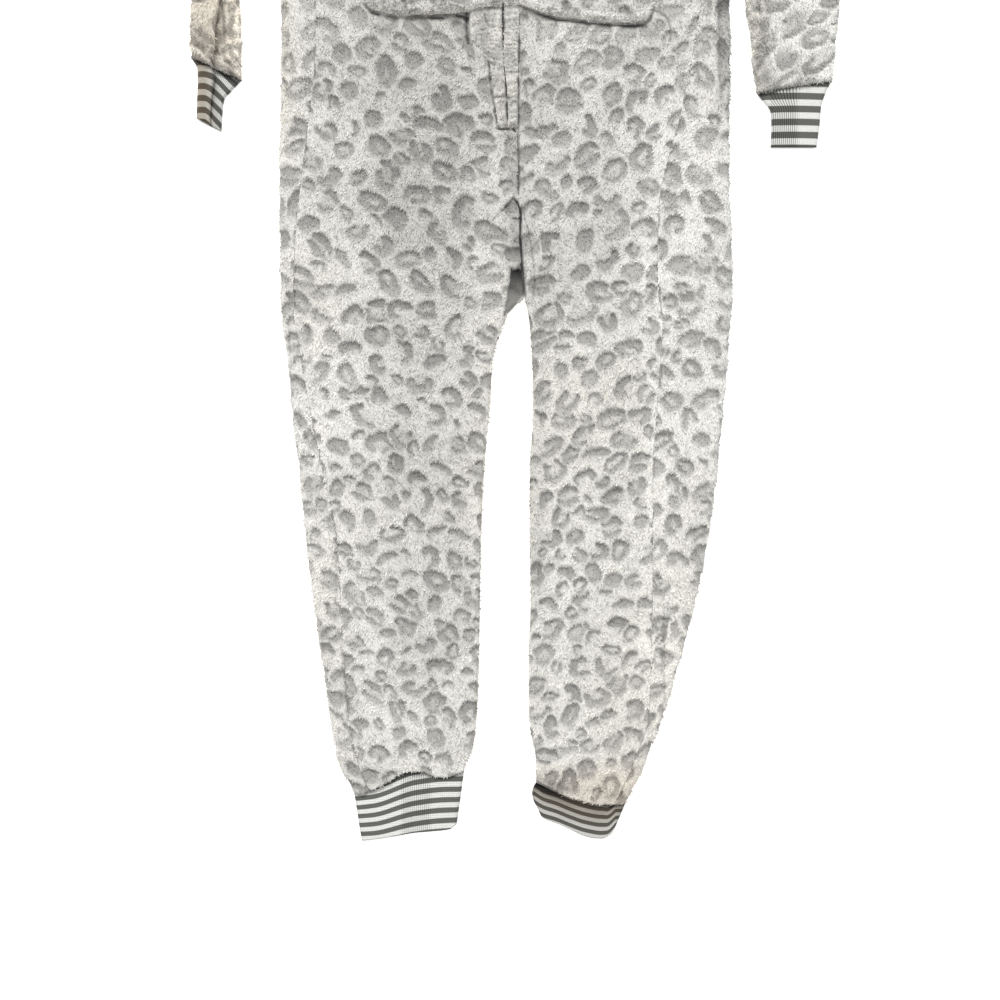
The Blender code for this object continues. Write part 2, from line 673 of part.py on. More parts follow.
def make_slider(collection):
    x = zip_line(SLIDER_Y)
    half_width = SLIDER_WIDTH / 2.0
    half_length = SLIDER_LENGTH / 2.0
    top_z = SLIDER_TOP_Z + SLIDER_PLATE
    bridge_top = top_z + BRIDGE_HEIGHT
    slider = block((x - half_width, SLIDER_Y - half_length, SLIDER_TOP_Z),
                   (x + half_width, SLIDER_Y + half_length, top_z), collection, "zip_slider", SLIDER_BEVEL)
    under = block((x - half_width, SLIDER_Y - half_length, SLIDER_BOTTOM_Z),
                  (x + half_width, SLIDER_Y + half_length, SLIDER_BOTTOM_Z + SLIDER_PLATE), collection)
    post_end = SLIDER_Y + half_length - POST_INSET
    post = block((x - POST_WIDTH / 2, post_end - POST_LENGTH, SLIDER_BOTTOM_Z + JOIN),
                 (x + POST_WIDTH / 2, post_end, SLIDER_TOP_Z + JOIN), collection)
    bridge = block((x - BRIDGE_WIDTH / 2, SLIDER_Y - BRIDGE_LENGTH / 2, top_z - JOIN),
                   (x + BRIDGE_WIDTH / 2, SLIDER_Y + BRIDGE_LENGTH / 2, bridge_top), collection)
    window = block((x - BRIDGE_WIDTH, SLIDER_Y - BRIDGE_WINDOW / 2, top_z),
                   (x + BRIDGE_WIDTH, SLIDER_Y + BRIDGE_WINDOW / 2, bridge_top - BRIDGE_ROOF), collection)
    combine(bridge, [window], "DIFFERENCE")
    combine(slider, [post, under, bridge], "UNION")
    slider.data.materials.clear()
    slider.data.materials.append(new_material("zip_slider", METAL))


def make_pull(collection):
    """The tab lies towards the feet from its bar, which passes through the slider's bridge."""
    x = zip_line(SLIDER_Y)
    bar = PULL_WALL / 2.0
    low = (x - PULL_WIDTH / 2, SLIDER_Y + bar - PULL_LENGTH, PULL_Z - bar)
    high = (x + PULL_WIDTH / 2, SLIDER_Y + bar, PULL_Z + bar)
    pull = block(low, high, collection, "zip_pull", PULL_BEVEL)
    window_width, window_length = PULL_WINDOW
    window = block((x - window_width / 2, SLIDER_Y - bar - window_length, PULL_Z - 2 * bar),
                   (x + window_width / 2, SLIDER_Y - bar, PULL_Z + 2 * bar), collection)
    grip_width, grip_length = GRIP_SLOT
    grip_y = low[1] + GRIP_FROM_END
    grip = block((x - grip_width / 2, grip_y, PULL_Z - 2 * bar),
                 (x + grip_width / 2, grip_y + grip_length, PULL_Z + 2 * bar), collection)
    combine(pull, [window, grip], "DIFFERENCE")
    pull.data.materials.clear()
    pull.data.materials.append(new_material("zip_pull", METAL))
    set_origin(pull, Vector((x, SLIDER_Y, PULL_Z)) * MM)


def set_origin(obj, origin):
    obj.data.transform(Matrix.Translation(-origin))
    obj.location = origin


# ---- the whole garment ------------------------------------------------------------------------------------

def centre_on_origin(collection):
    """Moves every piece so that the middle of the underside of the bounding box is the origin."""
    bpy.context.view_layer.update()
    corners = [obj.matrix_world @ vertex.co for obj in collection.objects for vertex in obj.data.vertices]
    low = [min(corner[axis] for corner in corners) for axis in range(3)]
    high = [max(corner[axis] for corner in corners) for axis in range(3)]
    shift = Vector(((low[0] + high[0]) / 2.0, (low[1] + high[1]) / 2.0, low[2]))
    for obj in collection.objects:
        obj.location -= shift
    print("origin shift (mm):", [round(value / MM, 3) for value in shift])


def build():
    for obj in list(bpy.data.objects):
        bpy.data.objects.remove(obj)
    collection = bpy.data.collections.new("onesie_pajama")
    bpy.context.scene.collection.children.link(collection)
    make_half(-1, "right", RIGHT_SECTIONS, RIGHT_ANKLE_SEAM, collection)
    make_half(1, "left", LEFT_SECTIONS, LEFT_ANKLE_SEAM, collection)
    make_sleeve(-1, "sleeve_right", RIGHT_SLEEVE, PLUSH_WALL, PLUSH, 10, collection)
    make_sleeve(1, "sleeve_left", LEFT_SLEEVE, PLUSH_WALL, PLUSH, 5, collection)
    make_sleeve(-1, "sleeve_cuff_right", RIGHT_SLEEVE_CUFF, RIB_WALL, RIB, 9, collection)
    make_sleeve(1, "sleeve_cuff_left", LEFT_SLEEVE_CUFF, RIB_WALL, RIB, 4, collection)
    make_leg_cuff(-1, "leg_cuff_right", RIGHT_ANKLE_SEAM, RIGHT_CUFF_HEM, collection)
    make_leg_cuff(1, "leg_cuff_left", LEFT_ANKLE_SEAM, LEFT_CUFF_HEM, collection)
    make_zip_tape(-1, "zip_tape_right", collection)
    make_zip_tape(1, "zip_tape_left", collection)
    make_guard("zip_guard_right", "right_near", "right_far", collection)
    make_guard("zip_guard_left", "left_near", "left_far", collection)
    make_pocket(-1, "pocket_right", RIGHT_POCKET_HEM, RIGHT_POCKET_RAMP, collection)
    make_pocket(1, "pocket_left", LEFT_POCKET_HEM, LEFT_POCKET_RAMP, collection)
    make_slider(collection)
    make_pull(collection)
    centre_on_origin(collection)


build()
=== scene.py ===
# A plush one-piece pyjama, laid flat on its back. Tables are in millimetres, in the pattern maker's frame:
# x = 0 is the centre back at the waist and y = 0 is a level just above the pocket's lower edge.
import math
import time

import bpy
import numpy as np
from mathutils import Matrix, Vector


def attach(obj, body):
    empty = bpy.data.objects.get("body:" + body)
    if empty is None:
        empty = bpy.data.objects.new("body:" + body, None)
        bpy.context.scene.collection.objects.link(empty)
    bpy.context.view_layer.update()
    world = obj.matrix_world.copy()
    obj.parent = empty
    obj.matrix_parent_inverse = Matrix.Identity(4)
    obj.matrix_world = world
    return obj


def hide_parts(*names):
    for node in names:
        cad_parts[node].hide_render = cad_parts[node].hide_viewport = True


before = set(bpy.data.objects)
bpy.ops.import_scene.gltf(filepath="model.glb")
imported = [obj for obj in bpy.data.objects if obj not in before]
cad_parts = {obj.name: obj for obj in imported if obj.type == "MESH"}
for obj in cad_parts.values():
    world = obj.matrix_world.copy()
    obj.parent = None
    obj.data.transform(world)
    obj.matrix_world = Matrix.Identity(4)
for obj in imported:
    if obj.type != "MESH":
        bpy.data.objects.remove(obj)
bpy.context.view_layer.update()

started = time.time()
mm = 0.001
originShift = np.array([9.981, -269.5, 0.0])  # from the pattern's frame to the model's
garment = {
    "plushWall": 4.0, "ribWall": 2.4, "thickness": 11.0, "hemThickness": 9.6, "hemReach": 50.0, "ankleReach": 75.0,
    "cuffThickness": 7.8, "seamGap": 0.3, "cuffGap": 0.6, "layerGap": 0.3, "underarm": (270.0, 190.0),
    "shoulder": (238.0, 402.0), "neck": (88.0, 470.0), "frontNeck": (385.0, 2.4), "backNeck": (452.0, 2.0),
    "opening": (-165.0, -143.0), "zipOpening": 5.2, "crotch": -356.0, "detailFrom": 12.0}


def report(stage):
    print(f"{stage}: {time.time() - started:.1f} s")


def linear(hexColour):  # sRGB hex to the renderer's linear colour
    parts = [int(hexColour[i:i + 2], 16) / 255 for i in (1, 3, 5)]
    return (*[p / 12.92 if p <= 0.04045 else ((p + 0.055) / 1.055) ** 2.4 for p in parts], 1.0)


def addObject(name, data):
    made = bpy.data.objects.new(name, data)
    bpy.context.collection.objects.link(made)
    return made


def addNode(tree, kind, inputs=None, **settings):  # each input is a value, or a socket to link
    node = tree.nodes.new(kind)
    for key, value in settings.items():
        setattr(node, key, value)
    for key, value in (inputs or {}).items():
        if isinstance(value, bpy.types.NodeSocket):
            tree.links.new(value, node.inputs[key])
        else:
            node.inputs[key].default_value = value
    return node


def socket(tree, kind, inputs=None, **settings):  # a new node's first output
    return addNode(tree, kind, inputs, **settings).outputs[0]


def smooth(low, high, value):
    share = np.clip((value - low) / (high - low), 0.0, 1.0)
    return share * share * (3.0 - 2.0 * share)


def mixed(low, high, share):
    return low + (high - low) * share


def bell(value, middle, width):
    return np.exp(-((value - middle) / width) ** 2)


def roundedEdge(distance, radius):  # how high a rounded edge has risen, 0 to 1, at a distance from its foot
    share = np.clip(distance / radius, 0, 1)
    return np.sqrt(share * (2 - share))


def softCurve(table, x, column=1):  # a smooth curve through a table's rows, without overshoot
    xs = np.array([row[0] for row in table], float)
    ys = np.array([row[column] for row in table], float)
    if xs[0] > xs[-1]:
        xs, ys = xs[::-1], ys[::-1]
    step = np.diff(xs)
    slope = np.diff(ys) / step
    tangent = np.zeros(len(xs))
    product = slope[:-1] * slope[1:]
    tangent[1:-1] = np.where(product > 0, 2 * product / np.where(product > 0, slope[:-1] + slope[1:], 1), 0)
    tangent[0], tangent[-1] = slope[0], slope[-1]
    x = np.clip(x, xs[0], xs[-1])
    i = np.clip(np.searchsorted(xs, x, "right") - 1, 0, len(xs) - 2)
    t = (x - xs[i]) / step[i]
    return (ys[i] * (1 + 2 * t) * (1 - t) ** 2 + step[i] * tangent[i] * t * (1 - t) ** 2
            + ys[i + 1] * t * t * (3 - 2 * t) + step[i] * tangent[i + 1] * t * t * (t - 1))


def softNoise(x, y, size, seed):  # smooth noise from -1 to 1, one bump in each size
    gx, gy = np.asarray(x) / size, np.asarray(y) / size
    ix, iy = np.floor(gx).astype(np.int64), np.floor(gy).astype(np.int64)
    fx, fy = gx - ix, gy - iy
    fx, fy = fx * fx * (3 - 2 * fx), fy * fy * (3 - 2 * fy)

    def corner(a, b):
        h = (a * 374761393 + b * 668265263 + seed * 974634777) & 0xFFFFFFFF
        h = ((h ^ (h >> 13)) * 1274126177) & 0xFFFFFFFF
        return ((h ^ (h >> 16)) & 0xFFFF) / 32767.5 - 1.0

    low = corner(ix, iy) * (1 - fx) + corner(ix + 1, iy) * fx
    return low * (1 - fy) + (corner(ix, iy + 1) * (1 - fx) + corner(ix + 1, iy + 1) * fx) * fy


def unit(vectors):
    return vectors / np.maximum(np.linalg.norm(vectors, axis=-1, keepdims=True), 1e-9)


# Materials

fabric = {
    "pile": "#EEEDE8", "print": "#A7A6A2", "warm": "#E9DDCA", "warmPrint": "#988B7D", "inside": "#C9C7C3",
    "ribLight": "#F1F1EE", "ribDark": "#6A6C67", "ribWarm": "#B9B2A4", "ribBrown": "#5E5346",
    "tape": ("#A9A8A5", "#B9B8B5"), "nylon": ("#A5A4A1", "#C6C5C1"), "thread": ("#B9B7B3", "#D6D4D0"),
    "zinc": ("#B9B8B4", "#D3D2CE")}


def makeMaterial(name, look=None, **values):  # look adds nodes and gives the sockets for the shader's inputs
    material = bpy.data.materials.new(name)
    material.use_nodes = True
    tree = material.node_tree
    shader = tree.nodes["Principled BSDF"]
    for key, value in values.items():
        shader.inputs[key.replace("_", " ")].default_value = value
    for key, value in (look(tree) if look else {}).items():
        tree.links.new(value, shader.inputs[key])
    return material


def attribute(tree, name):
    return addNode(tree, "ShaderNodeAttribute", attribute_name=name).outputs["Fac"]


def objectPlace(tree):
    return addNode(tree, "ShaderNodeTexCoord").outputs["Object"]


def math2(tree, operation, a, b):  # a sum, product or other pair of numbers, each a socket or a value
    return socket(tree, "ShaderNodeMath", {0: a, 1: b}, operation=operation)


def tint(tree, share, first, second, blend="MIX"):  # mixes two colours, each a socket or a hex value
    first, second = (linear(colour) if isinstance(colour, str) else colour for colour in (first, second))
    return addNode(tree, "ShaderNodeMix", {0: share, 6: first, 7: second}, data_type="RGBA",
                   blend_type=blend).outputs[2]


def noise(tree, place, scale, detail, roughness=0.5):
    return socket(tree, "ShaderNodeTexNoise", {"Scale": scale, "Detail": detail, "Roughness": roughness,
                                               "Vector": place})


def waves(tree, place, direction, **values):
    inputs = {key.replace("_", " "): value for key, value in values.items()}
    return addNode(tree, "ShaderNodeTexWave", {**inputs, "Vector": place}, wave_type="BANDS",
                   bands_direction=direction).outputs["Fac"]


def ranged(tree, value, low, high, first=0.0, second=1.0):  # low to high becomes first to second
    return socket(tree, "ShaderNodeMapRange", {"From Min": low, "From Max": high, "To Min": first, "To Max": second,
                                               "Value": value})


def bumped(tree, height, strength, distance):
    return socket(tree, "ShaderNodeBump", {"Strength": strength, "Distance": distance, "Height": height})


def lit(tree, colour, *lights):  # a colour times the product of the lights
    light = lights[0]
    for other in lights[1:]:
        light = math2(tree, "MULTIPLY", light, other)
    grey = socket(tree, "ShaderNodeCombineColor", {0: light, 1: light, 2: light})
    return tint(tree, 1.0, colour, grey, "MULTIPLY")


def fibreGrain(tree):
    # Pile fibres are about 0.02 mm thick, far too fine to show, so the grain is drawn as locks of them
    # 0.8 mm wide and 2 mm long, in two leanings that take turns over the cloth.
    place = objectPlace(tree)
    grains = []
    for turn, scale in ((0.5, (1200, 480, 700)), (-0.75, (1100, 440, 700))):
        turned = socket(tree, "ShaderNodeMapping", {"Rotation": (0, 0, turn), "Scale": scale, "Vector": place})
        grains.append(noise(tree, turned, 1.0, 3.0, 0.6))
    share = ranged(tree, noise(tree, place, 45.0, 1.0), 0.42, 0.58)
    return socket(tree, "ShaderNodeMix", {0: share, 2: grains[0], 3: grains[1]})


def plushColour(tree, grain):
    printed = attribute(tree, "print")
    colour = tint(tree, printed, fabric["pile"], fabric["print"])
    colour = tint(tree, attribute(tree, "warm"), colour, tint(tree, printed, fabric["warm"], fabric["warmPrint"]))
    colour = tint(tree, attribute(tree, "inside"), colour, fabric["inside"])
    # The tone carries the light and shade painted onto the cloth, with its random differences of tone.
    return lit(tree, colour, ranged(tree, grain, 0.3, 0.72, 0.63, 1.19), attribute(tree, "tone"))


def plushLook(tree):
    grain = fibreGrain(tree)
    return {"Base Color": plushColour(tree, grain), "Normal": bumped(tree, grain, 0.8, 0.0012)}


def pileLook(tree):
    shade = ranged(tree, attribute(tree, "shade"), 0.0, 1.0, 0.32, 0.82)
    # painted shade at the tufts' roots and painted light at their tips
    tip = ranged(tree, attribute(tree, "tip"), 0.0, 1.0, -0.1, 0.06)
    return {"Base Color": plushColour(tree, math2(tree, "ADD", shade, tip))}


def ribLook(tree):
    place = objectPlace(tree)
    dark = ranged(tree, math2(tree, "PINGPONG", attribute(tree, "band"), 0.5), 0.23, 0.285, 1.0, 0.0)
    warm = attribute(tree, "warm")
    colour = tint(tree, dark, tint(tree, warm, fabric["ribLight"], fabric["ribWarm"]),
                  tint(tree, warm, fabric["ribDark"], fabric["ribBrown"]))
    yarn = noise(tree, place, 900.0, 3.0)
    # painted shade in the channels between the rib's ridges
    channelShade = ranged(tree, attribute(tree, "rib"), 0.2, 1.5, 1.0, 0.19)
    # Stitch courses are 0.9 mm apart in the knit and are drawn 1.2 mm apart.
    course = waves(tree, place, "Y", Scale=130.0, Distortion=3.0, Detail=1.0, Detail_Scale=8.0)
    return {"Base Color": lit(tree, colour, ranged(tree, yarn, 0.3, 0.7, 0.88, 1.06), channelShade,
                              attribute(tree, "tone")),
            "Normal": bumped(tree, math2(tree, "ADD", course, yarn), 0.5, 0.0005)}


def tapeLook(tree):
    weave = waves(tree, objectPlace(tree), "DIAGONAL", Scale=320.0, Distortion=0.6)
    return {"Base Color": tint(tree, weave, *fabric["tape"]), "Normal": bumped(tree, weave, 0.4, 0.0003)}


def coilLook(tree):
    return {"Base Color": tint(tree, noise(tree, objectPlace(tree), 260.0, 2.0), *fabric["nylon"])}


def threadLook(tree):
    twist = waves(tree, objectPlace(tree), "DIAGONAL", Scale=420.0, Distortion=1.0)
    return {"Base Color": tint(tree, twist, *fabric["thread"])}


def zincLook(tree):
    place = objectPlace(tree)
    rubbed = socket(tree, "ShaderNodeMapping", {"Scale": (2200, 260, 1500), "Vector": place})
    scratch = noise(tree, rubbed, 1.0, 4.0)
    return {"Base Color": tint(tree, noise(tree, place, 350.0, 2.0), *fabric["zinc"]),
            "Roughness": ranged(tree, scratch, 0.0, 1.0, 0.2, 0.48), "Normal": bumped(tree, scratch, 0.15, 0.0002)}


# Knitted polyester plush: cut pile over a knitted ground, brushed and carved where the print is. It gives
# the eye a matt, velvety white with a soft light at its edges and greyer, lower spots.
plushCloth = makeMaterial("knitted polyester plush", plushLook, Roughness=0.92, Sheen_Weight=0.35,
                          Sheen_Roughness=0.55, Specular_IOR_Level=0.15)
# Brushed polyester pile tufts: locks of fibre with light painted at their tips and shade at their roots, dull between
# them.
pileFibre = makeMaterial("brushed polyester pile", pileLook, Roughness=0.85, Sheen_Weight=0.3, Sheen_Roughness=0.5,
                         Specular_IOR_Level=0.2)
# Striped rib knit, cotton with elastane: ridges of stitches with shade painted in the channels between them,
# matt, in yarn-dyed stripes with hard edges.
ribKnit = makeMaterial("striped cotton rib knit", ribLook, Roughness=0.85, Sheen_Weight=0.15, Specular_IOR_Level=0.2)
# Woven polyester zip tape: flat, a little shiny, with a fine herringbone of threads 0.5 mm apart.
tapeCloth = makeMaterial("woven polyester tape", tapeLook, Roughness=0.6, Sheen_Weight=0.1)
# Extruded nylon zip coil: smooth, milky, with a soft plastic gloss.
coilNylon = makeMaterial("nylon zip coil", coilLook, Roughness=0.35, IOR=1.53)
# Polyester sewing thread, two plies twisted: a fine satin cord.
sewingThread = makeMaterial("polyester sewing thread", threadLook, Roughness=0.55, Sheen_Weight=0.2)
# Die-cast zinc alloy, tumbled and nickel plated: bright, with fine rubbed scratches and dull edges.
platedZinc = makeMaterial("nickel plated zinc", zincLook, Metallic=1.0, Roughness=0.3)
report("materials")


# Shells: every piece of cloth is a wall with a fine outer surface and a coarser inner one

innerStep = 4  # the inner surface has every fourth row and column of the outer one
# Shares of the texture: where the outer and the inner grid begin and how wide they are, and the rim round them
texture = {"outer": (0.02, 0.76), "inner": (0.815, 0.165), "down": (0.02, 0.96), "rim": 0.012, "planEdge": 0.01,
           "planLean": 0.31}


def gridShell(name, outer, inner, marks, material, closed=False):
    # outer and inner are grids of points; marks gives each attribute its outer values and its inner value
    rows, columns = outer.shape[:2]
    innerRows, innerColumns = inner.shape[:2]
    first = np.arange(rows * columns).reshape(rows, columns)
    second = rows * columns + np.arange(innerRows * innerColumns).reshape(innerRows, innerColumns)
    if closed:
        first = np.concatenate([first, first[:, :1]], axis=1)
        second = np.concatenate([second, second[:, :1]], axis=1)

    def layout(shape, low, width):  # where the grid lies in the texture
        across, down = np.meshgrid(np.linspace(0, 1, shape[1]), np.linspace(0, 1, shape[0]))
        begin, length = texture["down"]
        return np.stack([low + width * across, begin + length * down], axis=-1)

    firstUv, secondUv = layout(first.shape, *texture["outer"]), layout(second.shape, *texture["inner"])
    rim = texture["rim"]

    def quads(grid):
        return np.stack([grid[:-1, :-1], grid[1:, :-1], grid[1:, 1:], grid[:-1, 1:]], axis=2).reshape(
            -1, 4, *grid.shape[2:])

    corners = [quads(first).reshape(-1), quads(second)[:, ::-1].reshape(-1)]
    uvs = [quads(firstUv).reshape(-1, 2), quads(secondUv)[:, ::-1].reshape(-1, 2)]
    sizes = [np.full(len(c) // innerStep, 4) for c in corners]
    borders = [(np.s_[0, :], (0, -rim), 1), (np.s_[-1, :], (0, rim), -1)]
    if not closed:
        borders += [(np.s_[:, 0], (-rim, 0), -1), (np.s_[:, -1], (rim, 0), 1)]
    for where, away, direction in borders:
        fine, coarse, fineUv = first[where][::direction], second[where][::direction], firstUv[where][::direction]
        faces, faceUvs = [], []
        for j in range(len(coarse) - 1):
            for i in range(innerStep):
                k, c = j * innerStep + i, j + (i >= innerStep // 2)
                faces += [fine[k], fine[k + 1], coarse[c]]
                faceUvs += [fineUv[k], fineUv[k + 1], fineUv[c * innerStep] + away]
            k = j * innerStep + innerStep // 2
            faces += [coarse[j], fine[k], coarse[j + 1]]
            faceUvs += [fineUv[j * innerStep] + away, fineUv[k], fineUv[(j + 1) * innerStep] + away]
        corners.append(np.array(faces))
        uvs.append(np.array(faceUvs))
        sizes.append(np.full(len(faces) // 3, 3))
    points = np.concatenate([outer.reshape(-1, 3), inner.reshape(-1, 3)])
    corners, uvs, sizes = np.concatenate(corners), np.concatenate(uvs), np.concatenate(sizes)
    starts = np.concatenate([[0], np.cumsum(sizes)[:-1]])
    a, b, c = (points[corners[starts + i]] for i in range(3))
    d = points[corners[starts + sizes - 1]]
    volume = (a * np.cross(b, c)).sum() + (a * np.cross(c, d)).sum()
    if volume < 0:  # turn every face round
        order = np.concatenate([np.arange(s, s + n)[::-1] for s, n in zip(starts, sizes)])
        corners, uvs = corners[order], uvs[order]
    mesh = bpy.data.meshes.new(name)
    mesh.vertices.add(len(points))
    mesh.vertices.foreach_set("co", ((points - originShift) * mm).astype(np.float32).ravel())
    mesh.loops.add(len(corners))
    mesh.loops.foreach_set("vertex_index", corners.astype(np.int32))
    mesh.polygons.add(len(sizes))
    mesh.polygons.foreach_set("loop_start", starts.astype(np.int32))
    mesh.polygons.foreach_set("use_smooth", np.ones(len(sizes), bool))
    mesh.uv_layers.new(name="OFBake").data.foreach_set("uv", uvs.astype(np.float32).ravel())
    mesh.update(calc_edges=True)
    if mesh.validate():
        print("repaired", name)
    for key, (values, insideValue) in marks.items():
        rest = np.broadcast_to(np.array(insideValue, float), (innerRows * innerColumns, *values.shape[2:]))
        values = np.concatenate([values.reshape(rows * columns, *values.shape[2:]), rest])
        vector = values.ndim > 1
        layer = mesh.attributes.new(key, "FLOAT_VECTOR" if vector else "FLOAT", "POINT")
        layer.data.foreach_set("vector" if vector else "value", values.astype(np.float32).ravel())
    mesh.materials.append(material)
    return addObject(name, mesh)


def slopes(points, closed=False, upward=False):
    # Unit directions along the columns and the rows, and the normal, outwards or else upwards everywhere
    if closed:
        across = np.roll(points, -1, axis=1) - np.roll(points, 1, axis=1)
    else:
        across = np.gradient(points, axis=1)
    across, down = unit(across), unit(np.gradient(points, axis=0))
    normal = unit(np.cross(down, across))
    if upward:
        normal = normal * np.where(normal[..., 2:] < 0, -1, 1)
    elif np.mean(normal[..., 2] * (points[..., 2] - points[..., 2].mean())) < 0:
        normal = -normal
    return across, down, normal


def edgeShares(shape):  # for the rows and the columns of a grid: 0 at both ends, 1 from the fourth one in
    rows, columns = (smooth(-0.5, 3, np.minimum(np.arange(n), np.arange(n)[::-1])) for n in shape)
    return rows[:, None], columns[None, :]


def combed(u, v, directions, lift, seed, *leans):  # the pile's direction: to the feet, leaning this way and that
    across, down, normal = directions
    lean = -90
    for i, (degrees, size) in enumerate(leans):
        lean = lean + degrees * softNoise(u, v, size, seed + 7 + i)
    lean = np.radians(lean)[..., None]
    return unit(normal * lift + (across * np.cos(lean) - down * np.sin(lean)))


def plushMarks(printed, tone, warm, tufts, reach, comb, innerTone=1.0):  # each with its value on the inner surface
    return {"print": (printed, 0.0), "tone": (tone, innerTone), "warm": (warm, 0.0), "inside": (0 * tone, 1.0),
            "pile": (tufts, 0.0), "reach": (reach, 1.0), "comb": (comb, (0, 0, 1))}


# The carved print: open rings, pairs of strokes, blobs and bars, strewn without a repeat

printing = {
    "spacing": 29.5, "fillerSpacing": 22.5, "ring": (9.0, 12.4), "stroke": (4.3, 5.8), "edge": 3.0, "smear": 3.4,
    "smearTone": 0.45, "depth": 2.0, "fillerSize": 0.62, "lean": 0.6, "rimShade": 0.17, "legScale": 0.85, "gap": 2.4,
    "margin": 10, "reach": 27}


def spotStrokes(rng):
    # One spot as lines round its middle, each a list of (x, y, half width), and how grey its middle is
    kind = rng.choice(["open", "ring", "pair", "blob", "bar", "hook"], p=[0.4, 0.14, 0.12, 0.1, 0.1, 0.14])
    radius = rng.uniform(*printing["ring"])
    longer, squash = rng.uniform(1.0, 1.4), rng.uniform(0.64, 0.94)
    width = rng.uniform(*printing["stroke"])
    start = rng.uniform(0, 6.28)
    lines = []

    def arc(start, span, radiusX, radiusY, thick):
        share = np.linspace(0, 1, 11)
        angle = start + span * share
        wobble = 1 + 0.13 * np.sin(angle * 2 + rng.uniform(0, 6.28)) + 0.09 * np.sin(angle * 3 + rng.uniform(0, 6.28))
        half = thick * (0.78 + 0.3 * np.sin(np.pi * np.clip(share * 1.15, 0, 1)))
        lines.append(np.stack([longer * radiusX * wobble * np.cos(angle), radiusY * wobble * np.sin(angle), half],
                              axis=1))

    if kind == "open":
        arc(start, rng.uniform(3.5, 5.1), radius, radius * squash, width)
    elif kind == "ring":
        arc(start, rng.uniform(5.6, 6.28), radius, radius * squash, width * 0.9)
    elif kind == "pair":
        arc(0.4, rng.uniform(1.7, 2.5), radius, radius * squash, width)
        arc(0.4 + math.pi, rng.uniform(1.3, 2.2), radius, radius * squash, width)
    elif kind == "blob":
        arc(0.0, 6.28, radius * 0.6, radius * 0.45 * squash, width * 1.35)
    elif kind == "bar":
        arc(0.5, rng.uniform(1.3, 1.9), radius * 1.15, radius * 0.8, width * 1.1)
        lines[-1][:, 1] -= radius * 0.55
    else:
        arc(start, rng.uniform(2.5, 3.4), radius * 0.95, radius * squash, width * 1.2)
    turn = rng.normal(printing["lean"], 0.6)
    turned = [(math.cos(turn), math.sin(turn)), (-math.sin(turn), math.cos(turn))]
    for line in lines:
        line[:, :2] = line[:, :2] @ np.array(turned)
    middle = rng.uniform(0.05, 0.75) if kind in ("open", "ring", "pair") else rng.uniform(0.0, 0.3)
    return lines, rng.uniform(0.78, 1.0), middle


def lineDistance(x, y, line):  # how far outside a line's width each point is
    near = np.full(x.shape, 99.0)
    for (x0, y0, w0), (x1, y1, w1) in zip(line, line[1:]):
        dx, dy = x1 - x0, y1 - y0
        share = np.clip(((x - x0) * dx + (y - y0) * dy) / (dx * dx + dy * dy + 1e-9), 0, 1)
        near = np.minimum(near, np.hypot(x - x0 - dx * share, y - y0 - dy * share) - mixed(w0, w1, share))
    return near


def strewSpots(rng, low, high):
    # Places of the spots, then of the small marks where the spots leave room, with the size of each
    kept = np.empty((0, 3))
    area = (high[0] - low[0]) * (high[1] - low[1])
    for size, spacing, room in ((1.0, printing["spacing"], 90),
                                (printing["fillerSize"], printing["fillerSpacing"], 110)):
        for _ in range(int(area / room)):
            spot = rng.uniform(low, high)
            local = mixed(printing["legScale"], 1.0, smooth(-620, -260, spot[1]))
            if not len(kept) or np.hypot(*(kept[:, :2] - spot).T).min() > spacing * local:
                kept = np.vstack([kept, (*spot, size * local * rng.uniform(0.9, 1.14))])
    return kept


def carvedPrint(u, v, seed):
    rng = np.random.default_rng(seed)
    margin, reach = printing["margin"], printing["reach"]
    spots = strewSpots(rng, (u.min() - margin, v.min() - margin), (u.max() + margin, v.max() + margin))
    warpedU = u + 1.8 * softNoise(u, v, 10, seed) + 0.9 * softNoise(u, v, 4.5, seed + 1)
    warpedV = v + 1.8 * softNoise(u, v, 10, seed + 2) + 0.9 * softNoise(u, v, 4.5, seed + 3)
    printed, rim = np.zeros(u.shape), np.zeros(u.shape)
    edge, smear = printing["edge"] / 2, printing["smear"]
    for cu, cv, size in spots:
        lines, strength, middle = spotStrokes(rng)
        near = (np.abs(u - cu) < reach) & (np.abs(v - cv) < reach)
        if not near.any():
            continue
        x, y = (warpedU[near] - cu) / size, (warpedV[near] - cv) / size
        value = middle * smooth(13.0, 6.0, np.hypot(x, y))
        shaded, nearest = np.zeros(x.shape), np.full(x.shape, 99.0)
        for line in lines:  # crisp above, where the long pile overhangs, and drawn out below
            outside = lineDistance(x, y, line) * size
            nearest = np.minimum(nearest, outside)
            inside = smooth(edge, -edge, outside)
            below = smooth(edge, -edge, lineDistance(x, y + smear / size, line) * size)
            value = np.maximum(value, np.maximum(inside, printing["smearTone"] * below))
            # the strip inside each line's upper edge, which later gets painted shadow from the overhanging pile
            shaded = np.maximum(shaded, inside * (1 - below))
        # each spot is drawn darker towards its top, as painted shade of its carved upper wall
        value = value * strength * np.clip(0.88 + 0.017 * y, 0.62, 1.08)
        apart = smooth(edge + printing["gap"], edge, nearest)  # a strip of long pile parts it from its neighbours
        printed[near] = np.maximum(printed[near] * (1 - apart), value)
        rim[near] = np.maximum(rim[near], shaded * strength)
    return printed, rim


# Hollows beside the side seams: points, half width, height, darkness of the shade painted in them
seamHollows = (
    ([(-262, -390), (-259, -450), (-262, -524)], 5, -1.2, 0.3), ([(-204, -640), (-206, -736)], 5, -1.0, 0.3),
    ([(-199, -774), (-191, -864)], 5, -1.2, 0.35), ([(188, -720), (189, -840)], 4, -1.3, 0.3),
    ([(194, -722), (185, -810)], 4, -1.2, 0.3))
